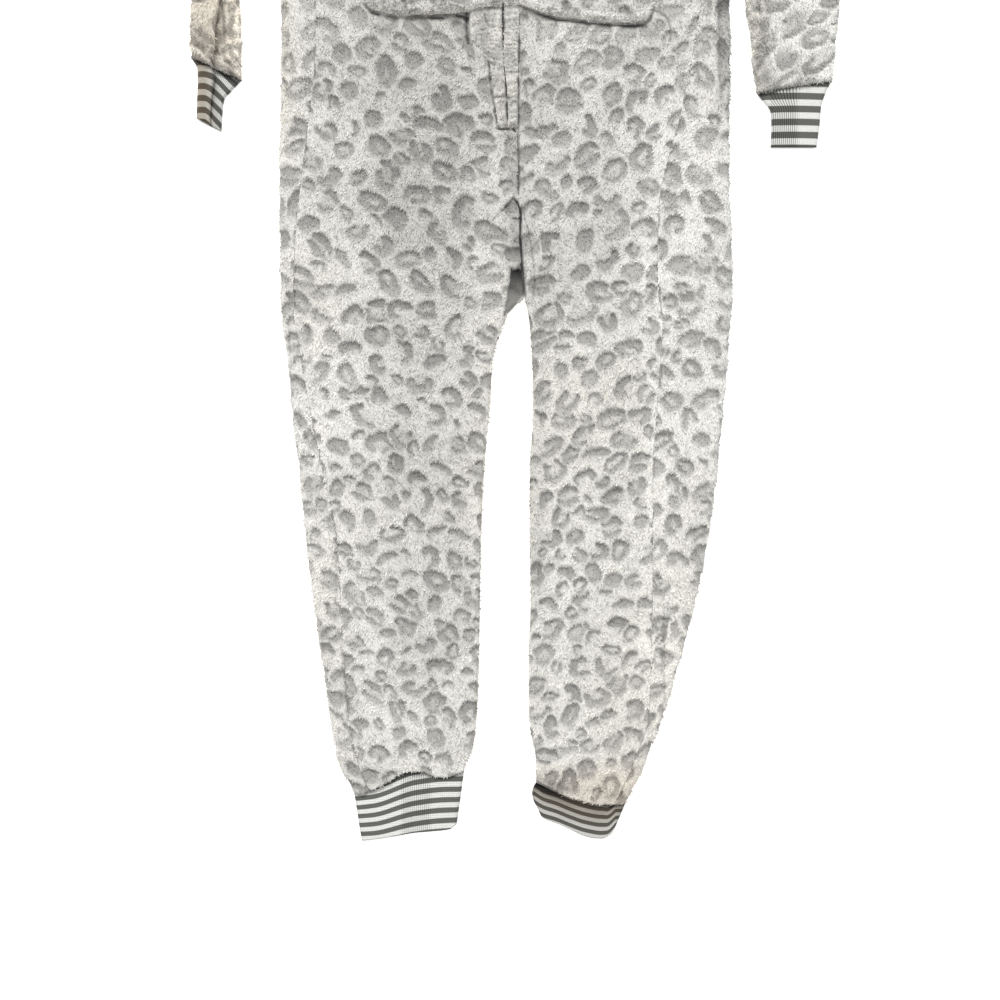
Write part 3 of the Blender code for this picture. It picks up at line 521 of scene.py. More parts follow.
# Creases and seams that stand out or sink in: points, half width, height
creases = (
    ([(-229, 20), (-231.6, -96), (-238.8, -138), (-246, -192)], 5, 1.6),
    ([(183, -302), (187, -410), (186, -516)], 5, 1.5),
    ([(178, -504), (174, -640), (176, -760), (172, -894)], 5, 1.5), ([(258, 10), (262, -60), (262, -119)], 9, -1.8),
    ([(-66, -624), (-55, -684)], 8, -1.6), ([(-90, -560), (-60, -600), (-40, -650)], 10, -1.4),
    ([(112, -714), (130, -769)], 8, -1.5), ([(60, -640), (95, -700)], 12, -1.2),
    ([(-160, -700), (-120, -760), (-110, -820)], 14, -1.4), ([(-150, -800), (-95, -850)], 10, 1.0),
    ([(70, -800), (105, -850)], 12, -1.4), ([(130, -840), (150, -905)], 9, -1.3),
    ([(-60, -200), (-110, -250), (-170, -270)], 16, -1.3), ([(-40, -300), (-90, -330)], 12, -1.2),
    ([(60, -180), (100, -240), (150, -260)], 16, -1.2), ([(45, -300), (80, -380)], 12, -1.0),
    ([(25, -252), (28, -300), (30, -360)], 4.5, 2.2), ([(-160, -60), (-130, -140)], 18, -1.0),
    ([(110, -70), (150, -150)], 18, -1.0), ([(-190, -420), (-150, -480)], 16, -1.2),
    ([(90, -450), (130, -520)], 16, -1.2), ([(-110, 250), (-60, 330)], 40, -1.4), ([(110, 240), (70, 320)], 40, -1.4),
    # gathers above the cuffs
    ([(-150, -938), (-152, -905)], 4, -1.5), ([(-135, -932), (-132, -895)], 4, -1.4),
    ([(-118, -925), (-119, -888)], 4, -1.5), ([(-101, -925), (-103, -893)], 4, -1.3),
    ([(-84, -930), (-80, -900)], 4, -1.3), ([(-166, -945), (-170, -915)], 4, -1.3),
    ([(55, -945), (52, -915)], 4, -1.2), ([(74, -953), (78, -920)], 4, -1.3),
    ([(93, -958), (92, -925)], 4, -1.2), ([(112, -962), (116, -930)], 4, -1.2),
    *((line, halfWidth, height) for line, halfWidth, height, _ in seamHollows),
)


# Narrow folds and seams in which the pile parts and light is lost, painted as shade: points, half width,
# darkness, depth
shadowLines = (
    ([(13.7, -103), (13.9, -155), (14.4, -192), (14.4, -233)], 1.3, 0.55, 0.8),
    ([(7.8, -237.6), (14.4, -246), (16.2, -249.6), (17, -262)], 1.7, 0.92, 1.8),
    ([(17, -262), (16.2, -278.4), (16.4, -289.2), (19, -318), (21, -344.4), (21, -354)], 2.4, 0.97, 2.4),
    ([(7.8, -237.6), (-1.2, -247.2), (-6, -252.5)], 1.6, 0.92, 1.6), ([(-6, -252.5), (-12, -259)], 1.3, 0.5, 0.8),
    ([(-12, -259), (-24, -270)], 1.2, 0.36, 0.6), ([(7.2, -261.6), (14.4, -261.6)], 1.9, 0.88, 1.2),
    ([(18, -246), (24, -270), (28.8, -294), (32.4, -318), (33.6, -342), (31.2, -360)], 1.2, 0.35, 0.9),
    ([(-27, -17.2), (-25.4, -25.7), (-22.2, -32.2), (-15.6, -33)], 1.2, 0.6, 1.2),
    ([(-48.6, -12), (-48.4, -34), (-46.6, -52)], 2.5, 0.85, 1.6),
    ([(-21.6, -74.4), (-16.2, -76.8)], 1.9, 0.8, 0.9), ([(-21.4, -76), (-20.2, -96)], 1.4, 0.65, 0.6),
    ([(-20.2, -96), (-17.6, -115), (-15.4, -126), (-12.2, -147), (-10.4, -154)], 1.3, 0.5, 0.5),
    ([(-16.8, -116.6), (1.2, -116.6)], 1.4, 0.55, 0.6), ([(-11.5, -155), (1.2, -155)], 1.2, 0.8, 0.8),
    ([(1.2, -154.6), (12, -153.6)], 1.0, 0.35, 0.4), ([(14.4, -50), (14.4, -75)], 1.4, 0.65, 0.5),
    ([(13.2, -95), (14.4, -103)], 1.8, 0.85, 0.8), ([(14.2, -103), (13.8, -154)], 1.4, 0.65, 0.5),
    ([(15.4, -12), (14.8, -50)], 1.2, 0.25, 0.3), ([(-1.2, -103), (-1.2, -115)], 1.4, 0.8, 0.8),
    ([(-0.8, -125), (0, -140)], 1.3, 0.8, 0.8), ([(-3.6, -25), (-4, -34)], 2.0, 0.7, 0.5),
    ([(9, -262), (10, -300), (13, -350)], 6.5, 0.3, 0.4),
    # folds of the sleeves
    ([(-342.6, -1), (-339.8, -21.6), (-339.8, -50.4)], 2.4, 0.6, 1.4),
    ([(-332.4, -4.3), (-333.6, -16)], 1.8, 0.4, 0.6),
    ([(-336, -53.5), (-328, -56.8), (-320, -60)], 2.8, 0.55, 1.2), ([(304, -76), (316, -104)], 10, 0.42, 0.9),
    ([(301, 0), (306, -24), (311, -60), (320, -84)], 1.7, 0.35, 0.8),
    ([(-352, -76), (-340, -80), (-331, -88), (-323, -96)], 3.8, 0.5, 0.3),
    # under the plush above the left leg's cuff
    ([(36, -934), (50, -940), (66, -946), (84, -951)], 4.5, 0.36, 0.3),
    ([(36, -938), (50, -946), (60, -951)], 2.2, 0.8, 0.5),
    # under the pocket's hem
    ([(-172.8, -4), (-163.2, -15)], 1.6, 0.6, 0.5), ([(-163.2, -15), (-153.6, -17.5)], 2.2, 0.93, 0.8),
    ([(-153.6, -17.5), (-139, -20), (-124, -22), (-112, -23), (-106, -20.5), (-96, -20.5)], 1.5, 0.45, 0.5),
    ([(-96, -20.5), (-77, -21.5)], 2.1, 0.9, 0.8), ([(-77, -21.5), (-69.6, -18), (-61, -18.5)], 1.5, 0.45, 0.4),
    ([(-61, -18.5), (-47.5, -21)], 2.4, 0.97, 0.9), ([(-45, -12.4), (-30, -11.4), (-6, -9.5)], 1.3, 0.4, 0.3),
    ([(16, -8), (24, -11), (36, -16)], 1.4, 0.65, 0.3), ([(36, -16), (60, -23.6), (84, -26)], 2.0, 0.95, 0.6),
    ([(84, -26), (103, -28.5), (139, -31)], 1.8, 0.93, 0.6), ([(139, -31), (162, -30)], 2.4, 0.98, 0.8),
    ([(162, -30), (172, -23), (177, -8)], 1.6, 0.75, 0.5),
    ([(176, -12), (184, -14), (193, -22), (196.5, -34), (196, -48)], 1.5, 0.6, 1.0),
    ([(254, 20), (255, -60), (257, -119)], 2.0, 0.25, 0.5),
    *((line, 1.2, darkness, 0.3) for line, _, _, darkness in seamHollows),
)
# Sunken patches of the right front in the fold of the crotch, with painted shade: outline, depth, darkness
# of the shade at its top and bottom
foldPatches = (
    ([(4.2, -321), (18.7, -324), (20.5, -353), (9.6, -366.6), (-4.2, -381), (-1.8, -364), (1.9, -348)],
     3.0, 0.98, 0.63),
    ([(-1, -155), (13, -155), (13.4, -232), (8, -237), (3.5, -224), (1, -190)], 0.3, 0.08, 0.26),
    ([(-4.2, -302.4), (-1.2, -297.6), (15.5, -295.2), (17.5, -314), (7.2, -314.4), (0, -313.2)], 1.2, 0.8, 0.5),
    ([(7, -240), (14, -250), (15, -291), (7, -285), (3, -262)], 0.5, 0.42, 0.12))


def insideShape(x, y, corners, soft):  # 1 inside a closed outline, 0 outside it
    odd = np.zeros(x.shape, bool)
    loop = list(corners) + [corners[0]]
    for (x0, y0), (x1, y1) in zip(loop, loop[1:]):
        odd ^= ((y0 > y) != (y1 > y)) & (x < (x1 - x0) * (y - y0) / (y1 - y0 + 1e-9) + x0)
    distance = lineDistance(x, y, [(a, b, 0.0) for a, b in loop])
    return smooth(-soft, soft, np.where(odd, distance, -distance))


def besideLines(x, y, rows, widths, margin):
    # For each row of a table: which places lie near its line, how far from it, and the rest of the row
    for line, halfWidth, *rest in rows:
        points = np.array(line, float)
        reach = widths * halfWidth + margin
        low, high = points.min(axis=0) - reach, points.max(axis=0) + reach
        near = (x > low[0]) & (x < high[0]) & (y > low[1]) & (y < high[1])
        if near.any():
            yield near, lineDistance(x[near], y[near], [(a, b, 0.0) for a, b in line]), halfWidth, *rest


def shadowMarks(x, y):  # darkness and depth of the narrow folds, and how bare of tufts it is beside them
    dark, depth, bare = np.zeros(x.shape), np.zeros(x.shape), np.zeros(x.shape)
    for near, distance, halfWidth, darkness, deep in besideLines(x, y, shadowLines, 3, 2):
        fall = bell(distance, 0, halfWidth)
        dark[near] = np.maximum(dark[near], darkness * fall)
        depth[near] = np.maximum(depth[near], deep * fall)
        bare[near] = np.maximum(bare[near], darkness * bell(distance, 0, halfWidth + 1.3))
    return dark, depth, bare


# The cloth swells beside the zip's guards where their edges sink into it
swells = (
    ([(-46, -52.5), (-34.5, -62.5), (-23.5, -73.5)], 6.5, 2.7), ([(15.8, -9), (15.6, -47)], 4, 3.3),
    ([(15.2, -76), (15.2, -93)], 4, 3.0), ([(-24, -84), (-21, -112)], 3.0, 1.2), ([(183, -22), (187, -44)], 11, 2.6))


def ridgeSum(x, y, ridges):  # soft ridges or troughs along lines, each with a half width and a height
    height = np.zeros(x.shape)
    for near, distance, halfWidth, rise in besideLines(x, y, ridges, 2.2, 0):
        height[near] += rise * bell(distance, 0, 0.8 * halfWidth)
    return height


def creaseHeight(x, y):
    height = 1.5 * softNoise(x, y, 62, 11) + 0.8 * softNoise(x, y, 26, 12)
    return height + ridgeSum(x, y, creases)


# Broad light and shade painted on the cloth, and warmth: how much, then the steps in x and in y
# between which it comes and goes
besidePocket = ((250, 254.5), (275, 272)), ((-140, -130), (90, 20))  # the side turns away from the light here
shadeBands = (
    (0.02, (), ((-250, -750),)), (-0.11, ((60, -30), (-260, -200)), ((-330, -250),)),
    (0.09, ((-288, -278), (-150, -190)), ((-850, -560),)),
    (-0.085, ((-158, -128), (-34, -56)), ((-120, -210), (-880, -760))),
    (-0.085, ((-14, 4), (150, 125)), ((-70, -130), (-420, -340))),
    (0.05, ((-46, -32), (2, -10)), ((-100, -130), (-400, -340))),
    (-0.13, ((12, 22), (54, 40)), ((-380, -420), (-780, -700))),
    (-0.2, *besidePocket), (-0.17, besidePocket[0], (*besidePocket[1], (-104, -80))),
    (-0.16, besidePocket[0], (*besidePocket[1], (-26, -8))), (0.03, ((190, 215),), ((-110, -140),)),
    (-0.09, ((318, 302), (276, 280)), ()), (0.055, ((-290, -310),), ()), (0.05, ((290, 310),), ()))
warmBands = (
    (0.25, ((-240, -268),), ((-300, 0),)), (0.33, ((-300, -345),), ()), (-0.1, ((315, 330),), ()),
    (0.22, ((322, 300), (276, 280)), ()), (0.4, ((20, 30),), ((-905, -945),)),
    (0.1, ((20, 30), (80, 125)), ((-620, -720),)))


def within(x, y, amount, stepsX, stepsY):
    for value, steps in ((x, stepsX), (y, stepsY)):
        for low, high in steps:
            amount = amount * smooth(low, high, value)
    return amount


def clothTone(x, y):
    # Painted broad light and shade: the upper body a little darker and the legs' ends lighter; the pile is
    # warmer at the outer edges
    tone = 0.985 + 0.00012 * x + 0.03 * softNoise(x, y, 95, 31) + 0.045 * softNoise(x, y, 32, 32)
    tone = tone + sum(within(x, y, *band) for band in shadeBands)
    outwards = mixed(236, 190, smooth(-250, -380, y))
    # painted light in a band along the left side, inside its outer edge
    tone = tone + within(x, y, 0.08 * smooth(outwards + 26, outwards, x), ((150, 170),), ((-50, -90), (-860, -780)))
    # a painted highlight along the ridge of the right sleeve's fold
    tone = tone + 0.13 * bell(x, -350, 5.5) * smooth(-64, -50, y)
    warm = 0.05 + 0.08 * softNoise(x, y, 120, 33) + sum(within(x, y, *band) for band in warmBands)
    return tone, np.clip(warm, 0, 1)


# Backs and fronts. Their sections: height, outermost point, side seam on top, front's and back's inner edge.
rightSections = (
    (190, -270, -260.5, 0, 0), (90, -271.5, -246, -2.5, 0), (0, -272.4, -229, -4.8, 0), (-80, -272.4, -231, -4.5, 1),
    (-143, -272.8, -238, .6, 4), (-165, -273.5, -240.5, 13, 6), (-240, -274.8, -250, 14.4, 12),
    (-263, -274.6, -252, 17, 14), (-283, -274.3, -254, 16.2, 15.8), (-300, -274, -255, 17, 17),
    (-356, -272.4, -257, 20.4, 20.4), (-366.6, -271.4, -256.5, 9.6, 9.6), (-380, -270, -256, -1.2, -1.2),
    (-394, -268, -253.5, -6.2, -6.2), (-428, -263.5, -248, -16.8, -16.8), (-484, -258.6, -238, -20.4, -20.4),
    (-566, -249, -221, -27.6, -27.6), (-649, -241, -204, -31.2, -31.2), (-716, -232.5, -200, -32.4, -32.4),
    (-790, -222, -196, -33.6, -33.6), (-862, -211.5, -190, -36.5, -36.5), (-905, -203, -180, -41, -41),
    (-940, -184, -165, -51.6, -51.6))
leftSections = (
    (190, 270, 260.5, 0, 0), (90, 269.5, 249, -2.5, 0), (0, 268.8, 234, -4.8, 0), (-80, 268.8, 220, -4.5, 1),
    (-143, 268.6, 207, .6, 4), (-165, 268.4, 201, 13, 6), (-240, 268.5, 183, 14.4, 12), (-263, 269.8, 182, 17, 14),
    (-283, 271, 181, 16.2, 15.8), (-300, 271.8, 180.5, 17, 17), (-356, 271.5, 182, 21.4, 21.4),
    (-380, 270, 187, 26, 26), (-428, 266.5, 185, 30, 30), (-493, 260.6, 180, 31.5, 31.5),
    (-566, 253.5, 175, 27.2, 27.2), (-649, 242, 175, 27.6, 27.6), (-716, 228.5, 174.5, 28.2, 28.2),
    (-790, 209, 173, 26.4, 26.4), (-862, 187.5, 170, 26.4, 26.4), (-912, 166.5, 152, 34, 34), (-955, 142, 128, 35, 35))
# The seam between plush and cuff, and the cuff's lower edge, from x to height
rightAnkle = (
    (-184, -952.3), (-174.5, -952.8), (-165.6, -950.4), (-151.6, -943.8), (-138.7, -936.8), (-134.6, -933.4),
    (-124.8, -928.8), (-115.2, -926.8), (-100.8, -926.9), (-94.8, -930), (-86.9, -932.4), (-77, -934.1), (-66, -932.4),
    (-57.1, -928.4), (-50.4, -925))
leftAnkle = (
    (34.8, -940), (41.4, -943), (51.6, -948.5), (62, -953), (73.2, -957.5), (85.9, -961), (97.8, -964.5),
    (109.8, -966.5), (126, -967), (142, -966))
rightHem = (
    (-176, -1010), (-162, -1008.5), (-136, -1004.5), (-110.4, -1000.1), (-85, -998), (-69.6, -996), (-60.5, -990))
leftHem = (
    (38, -974.4), (42, -980.9), (58.3, -988.3), (76.8, -996.5), (90.5, -1003), (104.4, -1006.5), (114, -1007),
    (124.4, -1002), (131, -992))
panels = {
    "fineColumns": 32, "fineReach": 34.0, "rows": 428, "rowsBelowArm": 32, "rowsArmhole": 40, "rowsTurned": 4,
    "backRows": 296, "seamDip": 0.9, "seamAngle": 72, "centreDip": 2.0, "roll": 5.35, "leastRadius": 0.2,
    "armDip": 1.8, "armInset": 1.7, "across": 112, "underAcross": 40, "edgeColumns": 4}


def armholeX(share):
    return mixed(garment["underarm"][0], garment["shoulder"][0], share)


def topEdge(x, curve):  # the neckline inside the neck point, the shoulder seam outside it
    neckX, neckY = garment["neck"]
    run = (x - neckX) / (garment["shoulder"][0] - neckX)
    low, power = curve
    inside = low + (neckY - low) * np.clip(x / neckX, 0, 1) ** power
    return np.where(x >= neckX, mixed(neckY, garment["shoulder"][1], run), inside)


def panelRows(rows, lastY):  # for each row: its height, its share of the armhole, its share of the turned edge
    turned, arm, below = panels["rowsTurned"], panels["rowsArmhole"], panels["rowsBelowArm"]
    foot = garment["underarm"][1]
    y = np.concatenate([np.full(turned + arm, foot), np.linspace(foot, garment["detailFrom"], below + 1)[:-1],
                        np.linspace(garment["detailFrom"], lastY, rows + 1)])
    rest = np.zeros(len(y) - turned - arm)
    return (y[:, None], np.concatenate([np.ones(turned), np.linspace(1, 0, arm + 1)[:-1], rest])[:, None],
            np.concatenate([np.linspace(1, 0, turned + 1)[:-1], np.zeros(arm), rest])[:, None])


def columnShares(*counts):  # one 0 to 1 ramp for each stretch, all as long as the whole row
    total = sum(counts) + 1
    place = np.arange(total, dtype=float)
    ramps, begin = [], 0
    for count in counts:
        ramps.append(np.clip((place - begin) / count, 0, 1)[None, :])
        begin += count
    return ramps


def thicknessAt(y, lastY):
    return mixed(garment["hemThickness"], garment["thickness"], smooth(lastY, lastY + garment["hemReach"], y))


def ankleShift(x, y, seam, lastY):
    return smooth(lastY + garment["ankleReach"], lastY, y) * (softCurve(seam, x) + garment["cuffGap"] - lastY)


def insetRadius(radius, inset):  # a rolled edge's radius on a surface that lies further in
    return np.maximum(radius - inset, panels["leastRadius"])


def rolled(radius, angle):  # how far a rolled edge goes along and how far down
    return radius * np.sin(angle), radius * (1 - np.cos(angle))


def turnTop(points, share, turned, curve, across, up, inset):
    # Rows above the armhole's foot, with the shoulder rolled over and the neckline turned in
    x, y, z = points[..., 0], points[..., 1], points[..., 2]
    top = topEdge(across * garment["shoulder"][0], curve)
    y = y + (top - garment["underarm"][1]) * share
    row = int(np.argmax(share[:, 0] < 1)) if (share < 1).any() else 0
    edge = np.stack([x[row], y[row]], axis=-1)
    tangent = unit(np.gradient(edge, axis=0))
    away = np.stack([-tangent[:, 1], tangent[:, 0]], axis=-1)
    away *= np.where(away[:, 1:] < 0, -1, 1)
    shoulder = smooth(0.35, 0.41, across)
    radius = mixed(2.0, panels["roll"], shoulder)
    most = np.radians(mixed(80, 90, shoulder))
    own = insetRadius(radius, inset)
    step = own * np.sin(most * turned) - radius * np.sin(most) * smooth(0.5, 1, share)
    points = np.stack([x + away[None, :, 0] * step, y + away[None, :, 1] * step, z], axis=-1)
    points[..., 2] -= up * own * (1 - np.cos(most * turned))
    return points


def frontSurface(side, sections, seam, y, share, turned, ramps, inset):
    lastY = sections[-1][0]
    rollIn, flat, rollOut = 1 - ramps[0], ramps[1], ramps[2]
    inLeg = smooth(garment["crotch"] + 6, garment["crotch"] - 6, y)
    thick = thicknessAt(y, lastY)
    gap = garment["seamGap"] / 2
    opened = smooth(*garment["opening"], y)
    innerEdge = softCurve(sections, y, 3) + side * mixed(mixed(gap, garment["zipOpening"], opened), 0, inLeg)
    outerEdge = softCurve(sections, y, 2) - side * gap
    outerEdge = mixed(outerEdge, side * (armholeX(share) - gap), smooth(0.0, 0.045, share))
    radiusIn = mixed(panels["centreDip"], thick / 2 - gap, inLeg)
    angleIn = np.radians(mixed(80, 90, inLeg))
    radiusOut = panels["seamDip"]
    angleOut = math.radians(panels["seamAngle"])
    start = innerEdge + side * radiusIn * np.sin(angleIn)
    end = outerEdge - side * radiusOut * math.sin(angleOut)
    alongIn, sinkIn = rolled(insetRadius(radiusIn, inset), angleIn * rollIn)
    alongOut, sinkOut = rolled(insetRadius(radiusOut, inset), angleOut * rollOut)
    x = mixed(start, end, flat) - side * alongIn + side * alongOut
    z = thick - inset - sinkIn - sinkOut
    points = np.stack([x, np.broadcast_to(y, x.shape), z], axis=-1)
    points = turnTop(points, share, turned, garment["frontNeck"], flat, 1, inset)
    x, y0 = points[..., 0], points[..., 1]
    tab = smooth(-50, -44, x) * smooth(-66, -54, y0)
    under = smooth(15, 12, x) * np.maximum(tab, smooth(-27, -21, x) * smooth(-157, -151, y0))
    under = np.maximum(under, smooth(-24, -10, y0) * smooth(186, 168, np.abs(x)))
    fade = smooth(2, 26, np.abs(x - innerEdge)) * (1 - turned) * (1 - under)
    lift = creaseHeight(x, y0) * fade
    points[..., 2] += lift + ridgeSum(x, y0, swells)
    seamBand = smooth(-150, -175, y) * smooth(-368, -350, y) * smooth(40, 6, np.abs(x - innerEdge))
    points[..., 2] += seamBand * (0.9 if side > 0 else -0.6)
    if side < 0:  # a hollow in the fold of the crotch
        for corners, sink, _, _ in foldPatches:
            points[..., 2] -= sink * insideShape(x, y0, corners, 1.6)
    points[..., 1] += ankleShift(points[..., 0], y, seam, lastY) * (share <= 0)
    u = side * mixed(start, end, flat) - radiusIn * angleIn * rollIn + radiusOut * angleOut * rollOut
    v = points[..., 1] + 8 * turned
    return points, u, v


def backSurface(side, sections, seam, y, share, turned, ramps, inset):
    lastY = sections[-1][0]
    rollIn, under, half, strip, rollOut = 1 - ramps[0], ramps[1], ramps[2], ramps[3], ramps[4]
    inLeg = smooth(garment["crotch"] + 6, garment["crotch"] - 6, y)
    thick = thicknessAt(y, lastY)
    gap = garment["seamGap"] / 2
    radius = thick / 2
    innerEdge = softCurve(sections, y, 4) + side * mixed(gap, 0, inLeg)
    radiusIn = mixed(1.6, radius - gap, inLeg)
    angleIn = np.radians(mixed(75, 90, inLeg))
    outer = softCurve(sections, y, 1) - (1.5 if side < 0 else 0) * smooth(-330, -400, y) * smooth(-950, -880, y)
    sideSeam = softCurve(sections, y, 2) + side * gap
    radiusOut, angleOut = panels["seamDip"], math.radians(panels["seamAngle"])
    armEdge = side * (armholeX(share) - gap - panels["armInset"])
    collapse = smooth(0.0, 0.03, share)
    start = innerEdge + side * radiusIn * np.sin(angleIn)
    end = mixed(outer - side * radius, armEdge, collapse)
    turn = np.pi * half
    stripWidth = sideSeam + side * radiusOut * math.sin(angleOut) - (outer - side * radius)
    alongIn, riseIn = rolled(insetRadius(radiusIn, inset), angleIn * rollIn)
    alongHalf, riseHalf = rolled(radius - inset, turn)
    alongOut, sinkOut = rolled(insetRadius(radiusOut, inset), angleOut * rollOut)
    x = mixed(start, end, under) - side * alongIn + side * alongHalf + stripWidth * strip - side * alongOut
    z = inset + riseIn + riseHalf - sinkOut
    beyond = (half * 2 + strip + rollOut) / 4  # columns past the underside, gathered at the armhole's seam
    alongDip, riseDip = rolled(insetRadius(panels["armDip"], inset), angleOut * beyond)
    x = mixed(x, np.where(beyond > 0, armEdge + side * alongDip, x), collapse)
    z = mixed(z, np.where(beyond > 0, inset + riseDip, z), collapse)
    points = np.stack([x, np.broadcast_to(y, x.shape), z], axis=-1)
    across = np.broadcast_to(np.abs(mixed(0, 1, under)), x.shape)
    points = turnTop(points, share, turned, garment["backNeck"], across, -1, inset)
    onTop = smooth(0.55, 1.0, half) * (1 - collapse)
    fade = onTop * smooth(2, 16, np.abs(outer - points[..., 0]))
    points[..., 2] += creaseHeight(points[..., 0], points[..., 1]) * fade
    points[..., 1] += ankleShift(points[..., 0], y, seam, lastY) * (share <= 0)
    u = (side * mixed(start, end, under) - radiusIn * angleIn * rollIn + radius * turn
         + np.abs(stripWidth) * strip + radiusOut * angleOut * rollOut)
    return points, u, points[..., 1] + 8 * turned


def finishPlush(name, outer, inner, u, v, seed, closed=False, covered=None):
    # Carves the print, roughens the pile and lays its direction, then makes the wall
    directions = slopes(outer, closed)
    normal = directions[2]
    printed, rim = carvedPrint(u, v, seed)
    x, y = outer[..., 0], outer[..., 1]
    printed = printed * (1 - 0.24 * smooth(-115, -20, y) * smooth(60, 10, y) * smooth(270, 250, np.abs(x)))
    tone, warm = clothTone(x, y)
    warm = warm + 0.28 * smooth(0.75, 0.2, normal[..., 2]) * smooth(200, 0, x)
    resting = smooth(-0.2, -0.8, normal[..., 2])  # underneath, where the cloth lies on the floor
    rough = 0.55 * softNoise(u, v, 7.5, seed + 5) + 0.35 * softNoise(u, v, 4.2, seed + 6)
    rise = (rough - printing["depth"] * printed * (1 - 0.6 * resting))
    rise = rise * (1 - resting) - resting * np.abs(rough) * 0.4 - resting * 0.5 * printed
    rowsIn, columnsIn = edgeShares(u.shape)  # an edge that is sewn to a neighbour stays where it is
    rise = rise * rowsIn * (1 if closed else columnsIn)
    top = smooth(3.0, 6.0, outer[..., 2])
    # painted shade in the narrow folds and seams, their depth, and the bare strips beside them
    dark, depth, bare = (mark * top for mark in shadowMarks(x, y))
    # painted shade in the hollows of the crotch's fold, its darkness blended from each patch's top to its bottom
    if "front_right" in name:
        for corners, _, above, below in foldPatches:
            heights = [corner[1] for corner in corners]
            hollow = insideShape(x, y, corners, 1.0)
            dark = np.maximum(dark, hollow * mixed(below, above, smooth(min(heights), max(heights), y) ** 2))
            printed = printed * (1 - 0.8 * hollow)
    shaped = outer + normal * rise[..., None]
    shaped[..., 2] -= depth  # straight down, so that seams stay shut
    if "front_left" in name:  # laps over the seam, so that the floor doesn't show through it
        shaped[..., 0] -= 0.8 * smooth(24.5, 21.5, x) * smooth(-222, -236, y) * smooth(-372, -352, y)
    shaped[..., 2] = np.maximum(shaped[..., 2], 0.0)
    # painted shade of the folds, and painted shadow of the overhanging pile along the print's upper edges
    tone = tone * (1 - dark) * (1 - printing["rimShade"] * rim)
    edge = smooth(0.55, 0.0, np.abs(normal[..., 2]))  # the pile stands out round the outline
    sparse = smooth(8, 120, y)  # towards the neck there are fewer tufts and they lie flatter
    tone = tone * (1 - 0.1 * sparse)
    lift = (mixed(0.55, 1.1, edge) * (1 - 0.7 * sparse))[..., None]
    comb = combed(u, v, directions, lift, seed, (38, 52), (34, 17), (22, 6))
    thickness = smooth(-0.05, 0.3, normal[..., 2]) * mixed(0.17, 1.0, smooth(110, 5, y)) * (1 + 0.5 * edge)
    thickness = thickness * np.clip(1 - 1.4 * np.maximum(dark, bare), 0, 1)
    if covered is not None:
        thickness = thickness * covered(x, y)
    elif "sleeve" in name:  # frizzier where the sleeve is turned over and along its inner side
        frizz = smooth(-344, -340, x) * smooth(-300, -310, x) + smooth(314, 306, x) * smooth(276, 280, x)
        thickness = thickness * (1 + 0.7 * frizz)
        tone = tone * (1 + 0.55 * frizz * softNoise(u, v, 5.2, seed + 11))
        printed = printed * (1 - 0.6 * frizz)
    if "sleeve" in name:  # tufts hang over the cuff's seam, in the shade of the edge
        rowsLeft = np.arange(len(u))[::-1][:, None]
        thickness = thickness * (1 + 1.5 * smooth(5, 0, rowsLeft))
        tone = tone * (1 - 0.4 * smooth(2, 0, rowsLeft))
    length = ((1 - 0.42 * printed) * (1 + 0.2 * softNoise(u, v, 14, seed + 10)) + 0.25 * edge) * (1 - 0.3 * sparse)
    # the inner surface, seen at the sleeves' ends and the neck, gets painted shade
    marks = plushMarks(printed, tone, warm, thickness, length, comb, 0.4 if closed or "front" in name else 1.0)
    return gridShell(name, shaped, inner, marks, plushCloth, closed)


def makePanel(name, surface, side, sections, seam, ramps, rows, seed, covered=None):
    y, share, turned = panelRows(rows, sections[-1][0])
    outer, u, v = surface(side, sections, seam, y, share, turned, ramps, 0.0)
    coarse = [part[::innerStep] for part in (y, share, turned)]
    coarseRamps = [ramp[:, ::innerStep] for ramp in ramps]
    inner = surface(side, sections, seam, *coarse, coarseRamps, garment["plushWall"])[0]
    return finishPlush(name, outer, inner, u, v, seed, covered=covered)


def makeFront(name, side, sections, seam, width, seed):
    edge = panels["edgeColumns"]
    ramps = columnShares(2 * edge, panels["across"], edge)
    ramps[1] = np.interp(ramps[1], (0, panels["fineColumns"] / panels["across"], 1),
                         (0, panels["fineReach"] / width, 1))
    return makePanel(name, frontSurface, side, sections, seam, ramps, panels["rows"], seed, underPocket)


def makeBack(name, side, sections, seam, stripColumns, seed):
    edge = panels["edgeColumns"]
    ramps = columnShares(edge, panels["underAcross"], 2 * edge, stripColumns, edge)
    return makePanel(name, backSurface, side, sections, seam, ramps, panels["backRows"], seed)


def underPocket(x, y):  # no tufts where the pocket and the zip's guards cover the front
    hidden = smooth(0, 6, y) * smooth(172, 164, y) * smooth(100, 92, np.abs(x))
    guarded = smooth(-150, -146, y) * smooth(-19, -15, x) * smooth(13, 9, x) * smooth(300, 290, y)
    return 1 - np.maximum(hidden, guarded)


pieces = {}


def keep(node, kind, make, *values):  # builds the piece that stands for a node of the frame
    pieces[node] = make(f"{node}_{kind}", *values)


keep("front_right", "plush", makeFront, -1, rightSections, rightAnkle, 245, 101)
keep("front_left", "plush", makeFront, 1, leftSections, leftAnkle, 170, 202)
keep("back_right", "plush", makeBack, -1, rightSections, rightAnkle, 16, 303)
keep("back_left", "plush", makeBack, 1, leftSections, leftAnkle, 32, 404)
report("fronts and backs")


